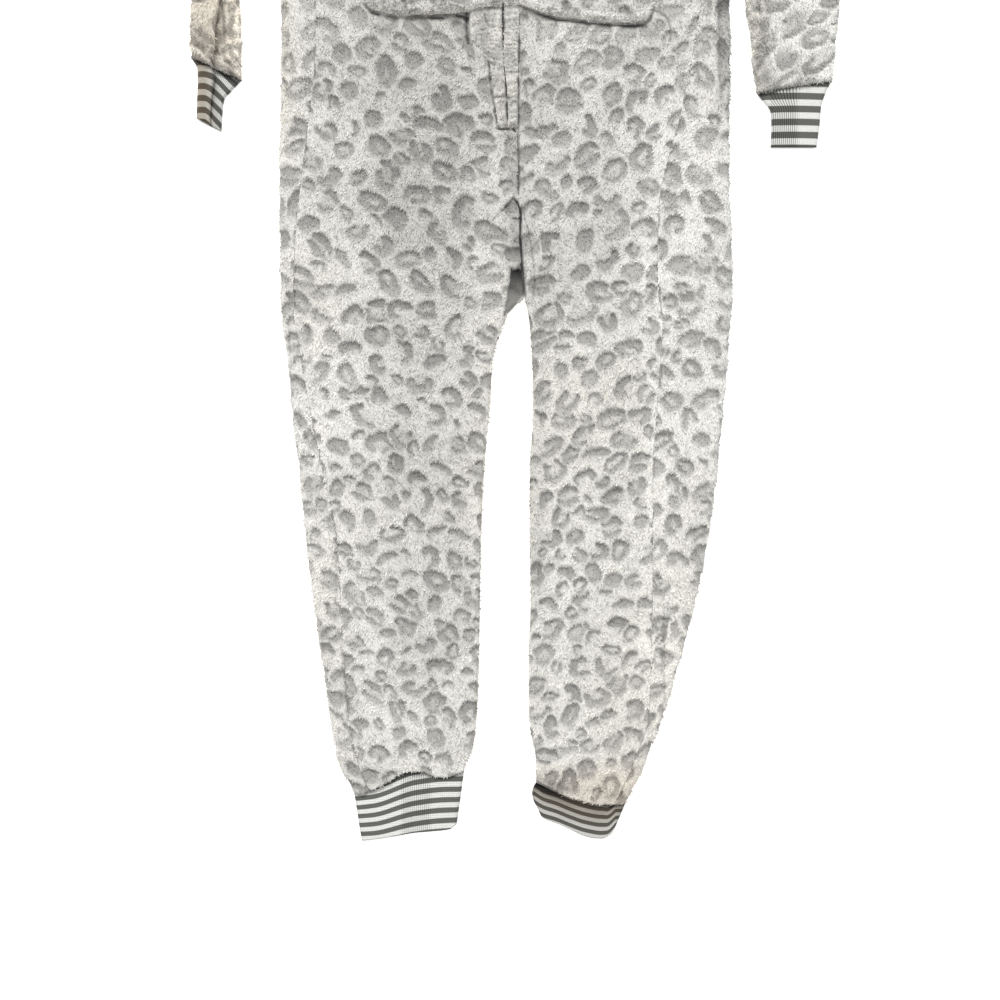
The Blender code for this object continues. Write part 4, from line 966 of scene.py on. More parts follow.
# Sleeves and cuffs: flattened tubes, folded lengthwise where a section says so.
# Sections: inner x, inner y, outer x, outer y, fold, thickness; x is counted away from the centre.
leftSleeve = (
    (270.3, 190, 238.3, 402, 0, 11), (273.5, 186, 284, 373, 0, 11), (276.5, 176, 324, 331, 0, 11),
    (279.5, 150, 356, 273, 0, 11), (281.5, 108, 379, 200, 0, 11), (284, 56, 394, 104, 0, 11),
    (285.6, 0, 400.8, 0, 0, 11), (291.5, -44, 397, -40, 0, 11), (295, -86, 394, -73, 0, 10.6),
    (300.5, -111, 390.6, -96, 0, 9.6))
rightSleeve = (
    (270.3, 190, 238.3, 402, 0, 11), (274.5, 186, 283, 373, 0, 11), (279.5, 176, 321, 331, 3, 11),
    (286.5, 150, 348, 273, 9, 11), (298, 108, 365, 198, 18, 11), (311, 54, 374, 100, 31, 11),
    (320.5, 0, 378.4, 0, 43, 11), (318.5, -48, 381, -36, 41, 11), (319, -95, 378.6, -70, 36, 9.6))
leftSleeveCuff = (
    (301.5, -112, 390, -97, 0, 7.8), (309, -122, 382.8, -112, 0, 7.8), (317, -133, 378.2, -127, 0, 7.8),
    (318, -150, 376.4, -148, 0, 7.8), (317, -176, 372.6, -176, 0, 7.8))
rightSleeveCuff = (
    (320.5, -96.5, 377.6, -71.8, 33, 7.8), (331, -108, 371.4, -84, 30, 7.8), (340.5, -120, 371.6, -102, 27, 7.8),
    (342.5, -138, 372.4, -120, 26, 7.8), (343.5, -157, 373, -142, 25, 7.8))
tubes = {"foldClearance": 1.6, "ribDepth": 0.35, "ribRows": 32, "legColumns": (92, 12), "sleeveColumns": (36, 8),
         "cuffFolded": (60, 8), "cuffFlat": (40, 8), "detailFrom": 14, "coarseStep": 6.5, "fineStep": 2.8, "tuck": 1.8}


def bandPlaces(run, fold, thick, distance, height):
    # (across, up) on a flattened tube seen end on: straight, then a bend upwards, then back over itself
    bend = thick / 2 + tubes["foldClearance"] / 2
    halfTurn = math.pi * bend
    angle = min(fold, halfTurn) / bend
    back = max(0.0, fold - halfTurn)
    straight = run - (bend + thick / 2) * math.sin(min(angle, math.pi / 2)) * (fold > 0)
    turned = np.clip((distance - straight) / bend, 0, angle)
    beyond = np.maximum(0.0, distance - straight - angle * bend)
    directionX, directionZ = -np.sin(turned), np.cos(turned)
    radius = bend - height
    x = np.where(distance <= straight, distance, straight - directionX * radius + np.cos(turned) * beyond)
    z = np.where(distance <= straight, thick / 2 + height,
                 thick / 2 + bend - directionZ * radius + np.sin(turned) * beyond)
    return x, z, directionX, directionZ, straight + angle * bend + back


def tubeRing(run, fold, thick, wall, flatColumns, endColumns):
    # Goes along the underside, round the outer end, back over the top and round the inner end
    length = bandPlaces(run, fold, thick, np.zeros(1), 0)[4]
    half = thick / 2
    own = half - wall
    across, up = [], []
    stretch = np.arange(flatColumns) / flatColumns
    turn = np.arange(endColumns) / endColumns * math.pi
    for distance, height in ((mixed(half, length - half, stretch), -own), (mixed(length - half, half, stretch), own)):
        end = length - half if height < 0 else half
        x, z, dx, dz, _ = bandPlaces(run, fold, thick, distance, height)
        across.append(x), up.append(z)
        x, z, dx, dz, _ = bandPlaces(run, fold, thick, np.array([end]), 0.0)
        swing = turn - math.pi / 2 if height < 0 else turn + math.pi / 2
        across.append(x + own * (dz * np.cos(swing) + dx * np.sin(swing)))
        up.append(z + own * (-dx * np.cos(swing) + dz * np.sin(swing)))
    return np.concatenate(across), np.concatenate(up), length


def tubeSurface(side, sections, shares, flatColumns, endColumns, wall):
    place = np.linspace(0, 1, len(sections))
    rows, lengths = [], []
    table = [(p, *section) for p, section in zip(place, sections)]
    values = [softCurve(table, shares, column) for column in range(1, 7)]
    for innerX, innerY, outerX, outerY, fold, thick in zip(*values):
        run = math.hypot(outerX - innerX, outerY - innerY)
        across, up, length = tubeRing(run, max(fold, 0), thick, wall, flatColumns, endColumns)
        along = np.array([side * (outerX - innerX), outerY - innerY]) / run
        rows.append(np.stack([side * innerX + along[0] * across, innerY + along[1] * across, up], axis=-1))
        lengths.append(length)
    return np.array(rows), np.array(lengths)


def sectionShares(sections):
    # Shares of the table at which the rows stand: coarse above detailFrom, fine below it
    place, dense = np.linspace(0, 1, len(sections)), np.linspace(0, 1, 800)
    y = np.interp(dense, place, [(s[1] + s[3]) / 2 for s in sections])
    outerX = np.interp(dense, place, [s[2] for s in sections])
    step = np.where(y[1:] > tubes["detailFrom"], tubes["coarseStep"], tubes["fineStep"])
    length = np.concatenate([[0], np.cumsum(np.hypot(np.diff(y), np.diff(outerX) * 0.5) / step)])
    count = math.ceil(length[-1] / innerStep) * innerStep
    return np.interp(np.linspace(0, length[-1], count + 1), length, dense)


def makeSleeve(name, side, sections, seed):
    shares = sectionShares(sections)
    flat, end = tubes["sleeveColumns"]
    outer, lengths = tubeSurface(side, sections, shares, flat, end, 0.0)
    inner, _ = tubeSurface(side, sections, shares[::innerStep], flat // innerStep, end // innerStep,
                           garment["plushWall"])
    column = np.arange(outer.shape[1])[None, :] / outer.shape[1]
    u = column * (2 * lengths[:, None]) + 0 * outer[..., 0]
    v = np.cumsum(np.linalg.norm(np.gradient(outer.mean(axis=1), axis=0), axis=1))[:, None] + 0 * u
    x, y = outer[..., 0], outer[..., 1]
    above = smooth(0.0, 0.12, shares)[:, None] * smooth(1.0, 0.93, shares)[:, None]
    top = smooth(garment["thickness"] * 0.5, garment["thickness"] * 0.9, outer[..., 2])
    outer[..., 2] += 0.9 * creaseHeight(x + 40, y + 700) * above * top
    return finishPlush(name, outer, inner, u, v, seed, closed=True)


keep("sleeve_left", "plush", makeSleeve, 1, leftSleeve, 505)
keep("sleeve_right", "plush", makeSleeve, -1, rightSleeve, 606)
report("sleeves")


def finishRib(name, outer, inner, bandTable, tone, warm, stretch):
    # Raises the ridges of the rib, two columns to a ridge, paints shade in the channels between them and marks
    # the stripes, counted upwards from the hem
    x, y = outer[..., 0], outer[..., 1]
    normal = slopes(outer, True)[2]
    odd = np.arange(x.shape[1]) % 2
    moved = outer + normal * (tubes["ribDepth"] * (1 - 2 * odd)[None, :, None] - tubes["ribDepth"])
    moved[..., 2] = np.maximum(moved[..., 2], 0.0)
    phase = (y - softCurve(bandTable, x, 1)) / softCurve(bandTable, x, 2)
    marks = {"band": (phase, 0.5), "tone": (tone, 0.9), "warm": (warm, 0.1), "rib": (odd * stretch, 0.5)}
    return gridShell(name, moved, inner, marks, ribKnit, True)


def makeLegCuff(name, side, seam, hem, edges, bandTable, warmth, stretch, bulge):
    flat, end = tubes["legColumns"]
    down = np.linspace(0, 1, tubes["ribRows"] + 1)

    def surface(down, flat, end, wall):
        grid = []
        for share in down:
            outerX = mixed(edges[0], edges[2], share)
            innerX = mixed(edges[1], edges[3], share) - side * bulge * math.sin(math.pi * share ** 0.85)
            run = abs(outerX - innerX)
            across, up, _ = tubeRing(run, 0, garment["cuffThickness"], wall, flat, end)
            x = innerX + side * across
            top, bottom = softCurve(seam, x), softCurve(hem, x)
            grid.append(np.stack([x, mixed(top, bottom, share), up], axis=-1))
        return np.array(grid)

    outer = surface(down, flat, end, 0.0)
    inner = surface(down[::innerStep], flat // innerStep, end // innerStep, garment["ribWall"])
    x = outer[..., 0]
    gather = 0.5 * np.sin(x / 5.3) * smooth(0.35, 0.0, down)[:, None]
    lift = smooth(2, 6, outer[..., 2])
    outer[..., 2] += lift * (gather + 0.7 * softNoise(x, outer[..., 1], 22, 77) - 0.6)
    warm = warmth(x, down[:, None])
    # painted shade along the cuff's top under the plush's edge; the knit is also drawn darker where it is warmer
    tone = 1 - 0.28 * smooth(0.16, 0.0, down)[:, None] - 0.2 * warm
    if bulge:  # the plush hangs over the cuff here and keeps the light off it
        tone = tone * 0.93 * (1 - 0.75 * smooth(0.42, 0.0, down)[:, None] * smooth(95, 36, x)
                              - 0.3 * smooth(0.3, 0.0, down)[:, None])
    return finishRib(name, outer, inner, bandTable, tone, warm, stretch(x))


def makeSleeveCuff(name, side, sections, bandTable, warmth, stretch):
    shares = np.linspace(0, 1, tubes["ribRows"] + 1)
    flat, end = tubes["cuffFolded" if side < 0 else "cuffFlat"]
    outer, _ = tubeSurface(side, sections, shares, flat, end, 0.0)
    inner, _ = tubeSurface(side, sections, shares[::innerStep], flat // innerStep, end // innerStep,
                           garment["ribWall"])
    outer[0] -= tubes["tuck"] * unit(outer[1] - outer[0])  # tucked into the sleeve
    x = outer[..., 0]
    # painted shade along the cuff's top, under the sleeve's end, and deeper under the plush's lowest end
    tone = 1 - 0.25 * smooth(0.14, 0.0, shares)[:, None] + 0 * x
    shaded = smooth(-356, -346, x) if side < 0 else smooth(332, 318, x)  # under the plush's lowest end
    tone = tone * (1 - 0.75 * shaded * smooth(0.13, 0.03, shares)[:, None])
    return finishRib(name, outer, inner, bandTable, tone, warmth(x), stretch(x))


# Stripes: x, the lowest full stripe's height, the pitch
rightLegBands = (
    (-180, -1001.8, 10.7), (-160, -1000.5, 11), (-110.4, -989.2, 12.4), (-80, -985.6, 12.5), (-55, -984.5, 12.3))
leftLegBands = (
    (33, -973, 10), (44.4, -979.2, 9.6), (58.3, -983.6, 9.6), (76.8, -991.1, 9.6), (94.8, -997.2, 9.7),
    (113.4, -1000.2, 9.7), (120, -999.6, 9.2), (131, -990, 8.4))
leftSleeveBands = ((300, -162, 15.4), (345, -161.2, 15.6), (390, -162.3, 15.6))
rightSleeveBands = (
    (-380, -132.4, 14.2), (-362, -133.2, 14.3), (-356, -137, 15), (-350.5, -143.4, 16.4), (-344.5, -149.5, 16.6),
    (-339, -156, 16.8), (-332, -164, 17), (-322, -172, 17))
# The cuffs: each with the warmth of its knit, then how strongly shade is painted in its rib's channels, by x
keep("leg_cuff_right", "rib", makeLegCuff, -1, rightAnkle, rightHem, (-184, -51.6, -175, -60.5), rightLegBands,
     lambda x, share: 0.05 + 0 * x, lambda x: 0.4 + 0.6 * smooth(-130, -124, x) * smooth(-88, -96, x), 0.0)
keep("leg_cuff_left", "rib", makeLegCuff, 1, leftAnkle, leftHem, (142, 35, 131, 39), leftLegBands,
     lambda x, share: 0.3 + 0.65 * smooth(0.95, 0.1, share) + 0 * x, lambda x: 0.5 + 0 * x, 6.5)
keep("sleeve_cuff_left", "rib", makeSleeveCuff, 1, leftSleeveCuff, leftSleeveBands, lambda x: 0.05 + 0 * x,
     lambda x: 0.3 + 1.05 * smooth(314, 319, x) * smooth(354, 344, x))
keep("sleeve_cuff_right", "rib", makeSleeveCuff, -1, rightSleeveCuff, rightSleeveBands,
     lambda x: smooth(-340, -366, x), lambda x: 0.3 + 0.85 * smooth(-358, -349, x))
report("cuffs")


# Zip guards, by height: the zip's line and the guards' edges
zipColumns = ("height", "line", "rightNear", "rightFar", "leftNear", "leftFar")
zipRows = (
    (383, 0, -6, -24, 6, 22), (340, -.2, -5.6, -24, 5.2, 21.5), (320, -.4, -2.2, -23.5, 1.6, 21),
    (190, -1.6, -3.4, -24, .4, 19), (90, -3.4, -5.2, -25, -1.6, 16.5), (20, -4.8, -6.6, -27, -3.2, 15),
    (-4, -4.8, -6.4, -45.6, -3.2, 14.4), (-54, -4.8, -6.2, -44.5, -3, 13.6), (-72, -4.6, -5.6, -21.6, -3, 13.4),
    (-96, -2, -3.4, -18, -.6, 13.2), (-116, 0, -1.2, -15.6, 1, 13.2), (-140, .6, -.6, -12.2, 1.6, 13.2),
    (-154, .6, -.4, -10.6, 1.6, 13.2))
guards = {
    "wall": 3.0, "rows": 232, "across": 28, "ruffle": 1.1, "rufflePitch": 8.8, "tightPitch": 4.9, "top": 383,
    "foot": -154, "edge": 3.0, "edgeDrop": 1.7, "sink": 5.2}


# How far over the zip a guard reaches, by height, and where its outer edge sinks into the cloth beside it
guardReach = (
    (-160, 1.1), (-140, 0.5), (-125, 0.6), (-118, 1.1), (-100, 0.6), (-60, 1.2), (-50, 0.6), (-8, 0.5), (20, 0))
guardSunk = {
    "right": ((-88, 0), (-80, 1), (-56, 1), (-42, 0)),
    "left": ((-99, 0), (-93, 1), (-78, 1), (-74, 0), (-52, 0), (-47, 1), (-12, 1), (-6, 0))}


def zipColumn(y, name):
    column = zipColumns.index(name)
    return np.interp(y, [row[0] for row in zipRows][::-1], [row[column] for row in zipRows][::-1])


def makeGuard(name, side, seed):
    half = "right" if side < 0 else "left"
    near, far = half + "Near", half + "Far"
    y = np.linspace(guards["top"], guards["foot"], guards["rows"] + 1)[:, None]
    place = np.linspace(0, 1, guards["across"] + 1)[None, :]
    nearX, farX = zipColumn(y, near) - side * np.interp(y, *zip(*guardReach)), zipColumn(y, far)
    base = garment["thickness"] + garment["layerGap"]
    x = mixed(nearX, farX, place) + 0 * y
    width = np.abs(farX - nearX)
    ends = np.minimum(y - guards["foot"], guards["top"] - y)
    shut = smooth(-56, -64, y) * smooth(-103, -98, y)  # here the two guards meet without a groove
    sunk = np.interp(y, *zip(*guardSunk[half]))
    edge = guards["edge"]
    toEdge = np.minimum(np.minimum(place * width + edge * shut, (1 - place) * width + edge * sunk), ends)
    crown = roundedEdge(toEdge, edge)
    z = base + guards["wall"] - guards["edgeDrop"] * (1 - crown)
    hidden = smooth(-20, -8, y) * smooth(180, 172, y)  # flat under the pocket
    wobble = 3.2 * softNoise(x, y, 11, seed)
    tight = smooth(-84, -72, y) * smooth(-24, -36, y)  # drawn up more closely here
    wave = mixed(np.sin(y / guards["rufflePitch"] * 2 * math.pi + wobble),
                 np.sin(y / guards["tightPitch"] * 2 * math.pi + wobble), tight)
    curl = 0.7 * softNoise(x, y, 8, seed + 1) + 0.7 * softNoise(x, y, 3.6, seed + 2)
    wave = wave * smooth(0.5, 3, toEdge) * (1.0 if side > 0 else 0.5) * (1 - hidden)
    z = z + guards["ruffle"] * wave + (1 - hidden) * (1.2 * crown + curl) * smooth(0.5, 3, toEdge)
    wide = smooth(30, 38, width) * (1 - hidden)  # a rolled band beside the zip, a hollow and a rim on the wide part
    band, hollow, brim = (bell(x, middle, reach) * wide for middle, reach in ((-15.5, 7.0), (-31, 6.0), (-42, 3.0)))
    z = z + 1.4 * band - 1.0 * hollow + 0.5 * brim
    if side < 0:
        z = z - guards["sink"] * sunk * smooth(14, 1, (1 - place) * width)
    z = z - 0.9 * smooth(-114.5, -117.5, y)
    dark, depth, bare = shadowMarks(x + 0 * y, y + 0 * x)
    z = z - depth
    outer = np.stack([x, y + 0 * x, np.maximum(z, base + 0.3)], axis=-1)
    yInner, placeInner = y[::innerStep], place[:, ::innerStep]
    xInner = mixed(zipColumn(yInner, near), zipColumn(yInner, far), placeInner) + 0 * yInner
    inner = np.stack([xInner, yInner + 0 * placeInner, np.full(xInner.shape, base)], axis=-1)
    u, v = outer[..., 0], outer[..., 1]
    printed = carvedPrint(u + 40, v, seed)[0] * (0.35 if side > 0 else 0.45)
    tone, warm = clothTone(u, v)
    rim = smooth(4.5, 1, toEdge) * (1 - hidden) * (1 - sunk)
    comb = combed(u, v, slopes(outer, upward=True), 0.7, seed, (50, 20))
    density = (1 - hidden) * np.maximum(smooth(30, 8, y), 0.3) * (1 + 0.5 * rim) * np.clip(1 - 1.3 * bare, 0, 1)
    # painted light on the rims, the ruffles' crests and the bumps, painted shade in their troughs and the narrow folds
    tone = (tone + 0.14 * rim - 0.03 + 0.16 * wave + 0.13 * curl * (1 - hidden)) * (1 - dark)
    # painted light on the rolled band and the rim beside it, painted shade in the hollow between them
    tone = tone + 0.12 * band - 0.13 * hollow + 0.05 * brim
    return gridShell(name, outer, inner, plushMarks(printed, tone, warm + 0.06, density, 0.7 + 0 * u, comb), plushCloth)


keep("zip_guard_right", "plush", makeGuard, -1, 707)
keep("zip_guard_left", "plush", makeGuard, 1, 808)


# Pocket halves: hem from the zip outwards, and the hand opening's slanted edge above a short side
pockets = {
    "wall": 4.0, "clear": 1.4, "rows": 72, "across": 64, "hemRoll": 4.0, "hemBulge": 2.1, "edgeRoll": 2.0,
    "hemDrop": 3.2, "edgeDrop": 1.5, "carved": 1.9, "top": 175.0}
rightPocketHem = (
    (-6, -8), (-32, -9.6), (-48, -15.6), (-71, -17), (-104, -17), (-116, -19.5), (-150, -14.4), (-163, -11),
    (-171.6, 2))
leftPocketHem = (
    (-3.6, -7), (14.4, -7), (31, -12), (60, -20), (103, -25), (139, -27.6), (160, -26), (170, -20), (174.5, -2))
pocketSide = ((0, 1), (0.32, 1), (0.6, 0.84), (1, 0.55))


def makePocket(name, side, hem, ramp, seed):
    low = garment["thickness"] + garment["layerGap"] + pockets["wall"]
    high = low + guards["wall"] + garment["layerGap"]
    share = np.concatenate([np.linspace(0, 0.16, 25)[:-1], np.linspace(0.16, 1, pockets["rows"] - 23)])[:, None]
    width = hem[-1][0] - hem[0][0]
    column = np.linspace(0, 1, pockets["across"] + 1)[None, :]

    def surface(share, column, wall):
        hemX = mixed(hem[0][0], hem[-1][0], column)
        hemY = softCurve(hem, hemX)
        y = mixed(hemY, pockets["top"], share)
        nearX = zipColumn(y, "line") + side * pockets["clear"]
        reach = softCurve(pocketSide, share)
        x = nearX + width * reach * column
        z = mixed(high, low, smooth(ramp[0], ramp[1], np.abs(x - nearX)))
        if wall:
            return np.stack([x, y, z - wall], axis=-1), None
        fromHem = y - hemY
        toEdge = np.minimum(np.abs(x - nearX), np.abs(reach * width * (1 - column)))
        toEdge = np.minimum(toEdge, pockets["top"] - y)
        z = z - pockets["hemDrop"] * (1 - roundedEdge(fromHem, pockets["hemRoll"]))
        edgeDrop = pockets["edgeDrop"] * (1 - roundedEdge(toEdge, pockets["edgeRoll"]))
        z = z - edgeDrop * smooth(0, pockets["hemRoll"], fromHem)
        bulge = pockets["hemBulge"] * bell(fromHem, 6.5, 4.5) - 1.1 * bell(fromHem, 15, 2.6)
        wave = 0.7 * softNoise(x, y, 26, seed + 3) + 0.5 * softNoise(x, y, 9, seed + 4)
        z = z + (bulge + wave * smooth(0, 6, fromHem)) * smooth(0, 5, toEdge)
        y = y + 0.8 * softNoise(x, 0 * x, 13, seed) * (1 - smooth(0, 10, fromHem))
        return np.stack([x, y, z], axis=-1), fromHem

    outer, fromHem = surface(share, column, 0.0)
    inner, _ = surface(share[::innerStep], column[:, ::innerStep], pockets["wall"])
    u, v = outer[..., 0], outer[..., 1]
    directions = slopes(outer, upward=True)
    printed, shaded = carvedPrint(u, v, seed)
    tone, warm = clothTone(u, v)
    # painted shadow of the overhanging pile along the print's upper edges
    tone = tone * (1 - printing["rimShade"] * shaded)
    rowsIn, columnsIn = edgeShares(u.shape)
    rise = 0.5 * softNoise(u, v, 7, seed + 5) + 0.3 * softNoise(u, v, 4, seed + 6) - pockets["carved"] * printed
    outer = outer + directions[2] * (rise * (rowsIn * columnsIn))[..., None]
    rim = smooth(12, 3, fromHem)
    comb = combed(u, v, directions, mixed(0.6, 1.0, rim)[..., None], seed, (45, 30), (30, 9))
    density = np.maximum(0.22, smooth(80, 8, v)) * (1 + 0.8 * rim)
    crease = bell(fromHem, 12.5, 1.6) * smooth(20, 42, u) * smooth(172, 160, u)
    # painted light along the hem's rolled edge and painted shade in the crease above it
    tone = tone + 0.08 * rim + 0.16 * smooth(3.5, 0, fromHem) - 0.4 * crease
    marks = plushMarks(printed * (1 - 0.5 * rim), tone, warm, density * (1 - 0.8 * crease), 0.9 + 0.2 * rim, comb)
    return gridShell(name, outer, inner, marks, plushCloth)


keep("pocket_right", "plush", makePocket, -1, rightPocketHem, (54, 78), 909)
keep("pocket_left", "plush", makePocket, 1, leftPocketHem, (30, 54), 911)
report("guards and pockets")


# Pile tufts, by Geometry Nodes

pile = {"density": 161000, "length": 3.3, "width": 0.76, "jitter": 0.72}


def newTree(name, result, **inputs):  # a Geometry Nodes tree, each input with its kind of socket
    tree = bpy.data.node_groups.new(name, "GeometryNodeTree")
    for key, kind in inputs.items():
        tree.interface.new_socket(key, in_out="INPUT", socket_type="NodeSocket" + kind)
    tree.interface.new_socket(result, in_out="OUTPUT", socket_type="NodeSocketGeometry")
    return tree, addNode(tree, "NodeGroupInput").outputs


def finishTree(tree, result, instances, material):  # makes the instances real, in their material
    real = socket(tree, "GeometryNodeRealizeInstances", {"Geometry": instances})
    done = socket(tree, "GeometryNodeSetMaterial", {"Geometry": real, "Material": material})
    addNode(tree, "NodeGroupOutput", {result: done})
    return tree


def marked(tree, name, kind="FLOAT"):  # what the mesh says at a place under this name
    return socket(tree, "GeometryNodeInputNamedAttribute", {"Name": name}, data_type=kind)


def pileTree():
    tree, given = newTree("pile tufts", "Tufts", Cloth="Geometry", Density="Float", Length="Float", Width="Float",
                          Jitter="Float", Seed="Int", Fibre="Material")
    density = math2(tree, "MULTIPLY", marked(tree, "pile"), given["Density"])
    strewn = socket(tree, "GeometryNodeDistributePointsOnFaces",
                    {"Mesh": given["Cloth"], "Density": density, "Seed": given["Seed"]})
    # one tuft is a lock of fibres with three sides, 1 long and 1 in radius
    lock = socket(tree, "GeometryNodeMeshCone", {"Vertices": 3, "Radius Top": 0.0, "Radius Bottom": 1.0,
                                                 "Depth": 1.0}, fill_type="NGON")
    height = addNode(tree, "ShaderNodeSeparateXYZ", {0: socket(tree, "GeometryNodeInputPosition")}).outputs["Z"]
    tipped = socket(tree, "GeometryNodeStoreNamedAttribute", {"Name": "tip", "Geometry": lock, "Value": height},
                    data_type="FLOAT", domain="POINT")
    wander = socket(tree, "FunctionNodeRandomValue", {"Min": (-1, -1, -1), "Max": (1, 1, 1), "Seed": 3},
                    data_type="FLOAT_VECTOR")
    shaken = socket(tree, "ShaderNodeVectorMath", {0: wander, "Scale": given["Jitter"]}, operation="SCALE")
    aimed = socket(tree, "ShaderNodeVectorMath", {0: marked(tree, "comb", "FLOAT_VECTOR"), 1: shaken},
                   operation="ADD")
    turned = socket(tree, "FunctionNodeAlignRotationToVector", {"Vector": aimed}, axis="Z")
    size = addNode(tree, "FunctionNodeRandomValue", {2: 0.65, 3: 1.35, "Seed": 5}, data_type="FLOAT").outputs[1]
    length = math2(tree, "MULTIPLY", math2(tree, "MULTIPLY", size, marked(tree, "reach")), given["Length"])
    width = math2(tree, "MULTIPLY", size, given["Width"])
    scale = socket(tree, "ShaderNodeCombineXYZ", {0: width, 1: width, 2: length})
    planted = socket(tree, "GeometryNodeInstanceOnPoints",
                     {"Points": strewn, "Instance": tipped, "Rotation": turned, "Scale": scale})
    shade = addNode(tree, "FunctionNodeRandomValue", {"Seed": 9}, data_type="FLOAT").outputs[1]
    shaded = socket(tree, "GeometryNodeStoreNamedAttribute", {"Name": "shade", "Geometry": planted, "Value": shade},
                    data_type="FLOAT", domain="INSTANCE")
    return finishTree(tree, "Tufts", shaded, given["Fibre"])


def grow(name, source, tree, values):  # runs a tree on a mesh and keeps the result as a plain mesh
    carrier = addObject(name, source)
    modifier = carrier.modifiers.new("grow", "NODES")
    modifier.node_group = tree
    sockets = {item.name: item.identifier for item in tree.interface.items_tree if item.in_out == "INPUT"}
    for key, value in values.items():
        modifier[sockets[key]] = value
    bpy.context.view_layer.update()
    mesh = bpy.data.meshes.new_from_object(carrier.evaluated_get(bpy.context.evaluated_depsgraph_get()))
    mesh.name = name
    carrier.modifiers.clear()
    mesh.materials.clear()
    carrier.data = mesh
    return carrier


def planUv(mesh):  # a texture layout seen from above, which gives every tuft the colour of its place
    points = np.empty(len(mesh.vertices) * 3, np.float32)
    mesh.vertices.foreach_get("co", points)
    points = points.reshape(-1, 3)
    points[:, 2] = np.maximum(points[:, 2], 0.0)  # nothing reaches below the floor
    mesh.vertices.foreach_set("co", points.ravel())
    flat = points[:, :2] + texture["planLean"] * points[:, 2:]
    low, high = flat.min(axis=0), flat.max(axis=0)
    flat = texture["planEdge"] + (1 - 2 * texture["planEdge"]) * (flat - low) / (high - low)
    corners = np.empty(len(mesh.loops), np.int32)
    mesh.loops.foreach_get("vertex_index", corners)
    for name in ("OFBake", "comb", "pile", "reach", "id"):
        if name in mesh.attributes:
            mesh.attributes.remove(mesh.attributes[name])
    mesh.uv_layers.new(name="OFBake").data.foreach_set("uv", flat[corners].ravel())


tufts = pileTree()
piles = {}
for seed, (node, piece) in enumerate(pieces.items()):
    if "cuff" not in node:
        values = {"Density": float(pile["density"]), "Length": pile["length"] * mm, "Width": pile["width"] * mm,
                  "Jitter": pile["jitter"], "Seed": seed, "Fibre": pileFibre}
        piles[node] = grow(node + "_pile", piece.data, tufts, values)
        piles[node].data.materials.append(pileFibre)
        planUv(piles[node].data)
report("pile")


# The zip: woven tapes with a nylon coil on each, closed from the foot up to the slider

zipper = {
    "top": 383.0, "foot": -140.0, "tape": 14.0, "tapeZ": 6.0, "tapeWall": 0.7, "coilHeight": 2.3,
    "coilReach": (-0.45, 2.5), "apart": 2.2, "slider": 364.0, "pitch": 1.5, "wire": 0.3, "rows": 176}


def zipSide(y, side):  # where one half of the zip begins, which is further out above the slider's post
    apart = np.interp(y, (zipper["slider"] + 1, zipper["slider"] + 4), (garment["seamGap"] / 2, zipper["apart"]))
    return zipColumn(y, "line") + side * apart


def makeTape(name, side):
    y = np.linspace(zipper["top"], zipper["foot"], zipper["rows"] + 1)[:, None]
    place = np.linspace(0, 1, 13)[None, :]
    x = zipSide(y, side) + side * zipper["tape"] * place
    cord = bell(place * zipper["tape"], 3.6, 0.8) + 0.6 * bell((place - 1) * zipper["tape"], 0, 0.7)
    top = zipper["tapeZ"] + zipper["tapeWall"] + 0.22 * cord + 0.06 * softNoise(x, y, 3, 71)
    outer = np.stack([x, y + 0 * x, top], axis=-1)
    inner = np.stack([x, y + 0 * x, zipper["tapeZ"] + 0 * x], axis=-1)[::4, ::innerStep]
    return gridShell(name, outer, inner, {}, tapeCloth)


def turnTree():
    tree, given = newTree("coil turns", "Coil", Places="Geometry", Width="Float", Height="Float", Wire="Float",
                          Slant="Float", Nylon="Material")
    turn = socket(tree, "GeometryNodeCurvePrimitiveCircle", {"Resolution": 7, "Radius": 1.0}, mode="RADIUS")
    size = socket(tree, "ShaderNodeCombineXYZ", {"X": given["Width"], "Y": given["Height"], "Z": 1.0})
    lean = socket(tree, "ShaderNodeCombineXYZ", {"X": math.pi / 2, "Z": given["Slant"]})
    shaped = socket(tree, "GeometryNodeTransform", {"Geometry": turn, "Scale": size, "Rotation": lean})
    section = socket(tree, "GeometryNodeCurvePrimitiveCircle", {"Resolution": 4, "Radius": given["Wire"]},
                     mode="RADIUS")
    loop = socket(tree, "GeometryNodeCurveToMesh", {"Curve": shaped, "Profile Curve": section})
    placed = socket(tree, "GeometryNodeInstanceOnPoints", {"Points": given["Places"], "Instance": loop})
    return finishTree(tree, "Coil", placed, given["Nylon"])


def placesMesh(name, points, along=None):  # loose points, each with a direction where along is given
    mesh = bpy.data.meshes.new(name)
    mesh.from_pydata([tuple(p) for p in (np.asarray(points) - originShift) * mm], [], [])
    if along is not None:
        mesh.attributes.new("along", "FLOAT_VECTOR", "POINT").data.foreach_set(
            "vector", np.asarray(along, np.float32).ravel())
    return mesh


def finishGrown(piece, material):
    piece.data.materials.append(material)
    planUv(piece.data)
    for polygon in piece.data.polygons:
        polygon.use_smooth = True
    return piece


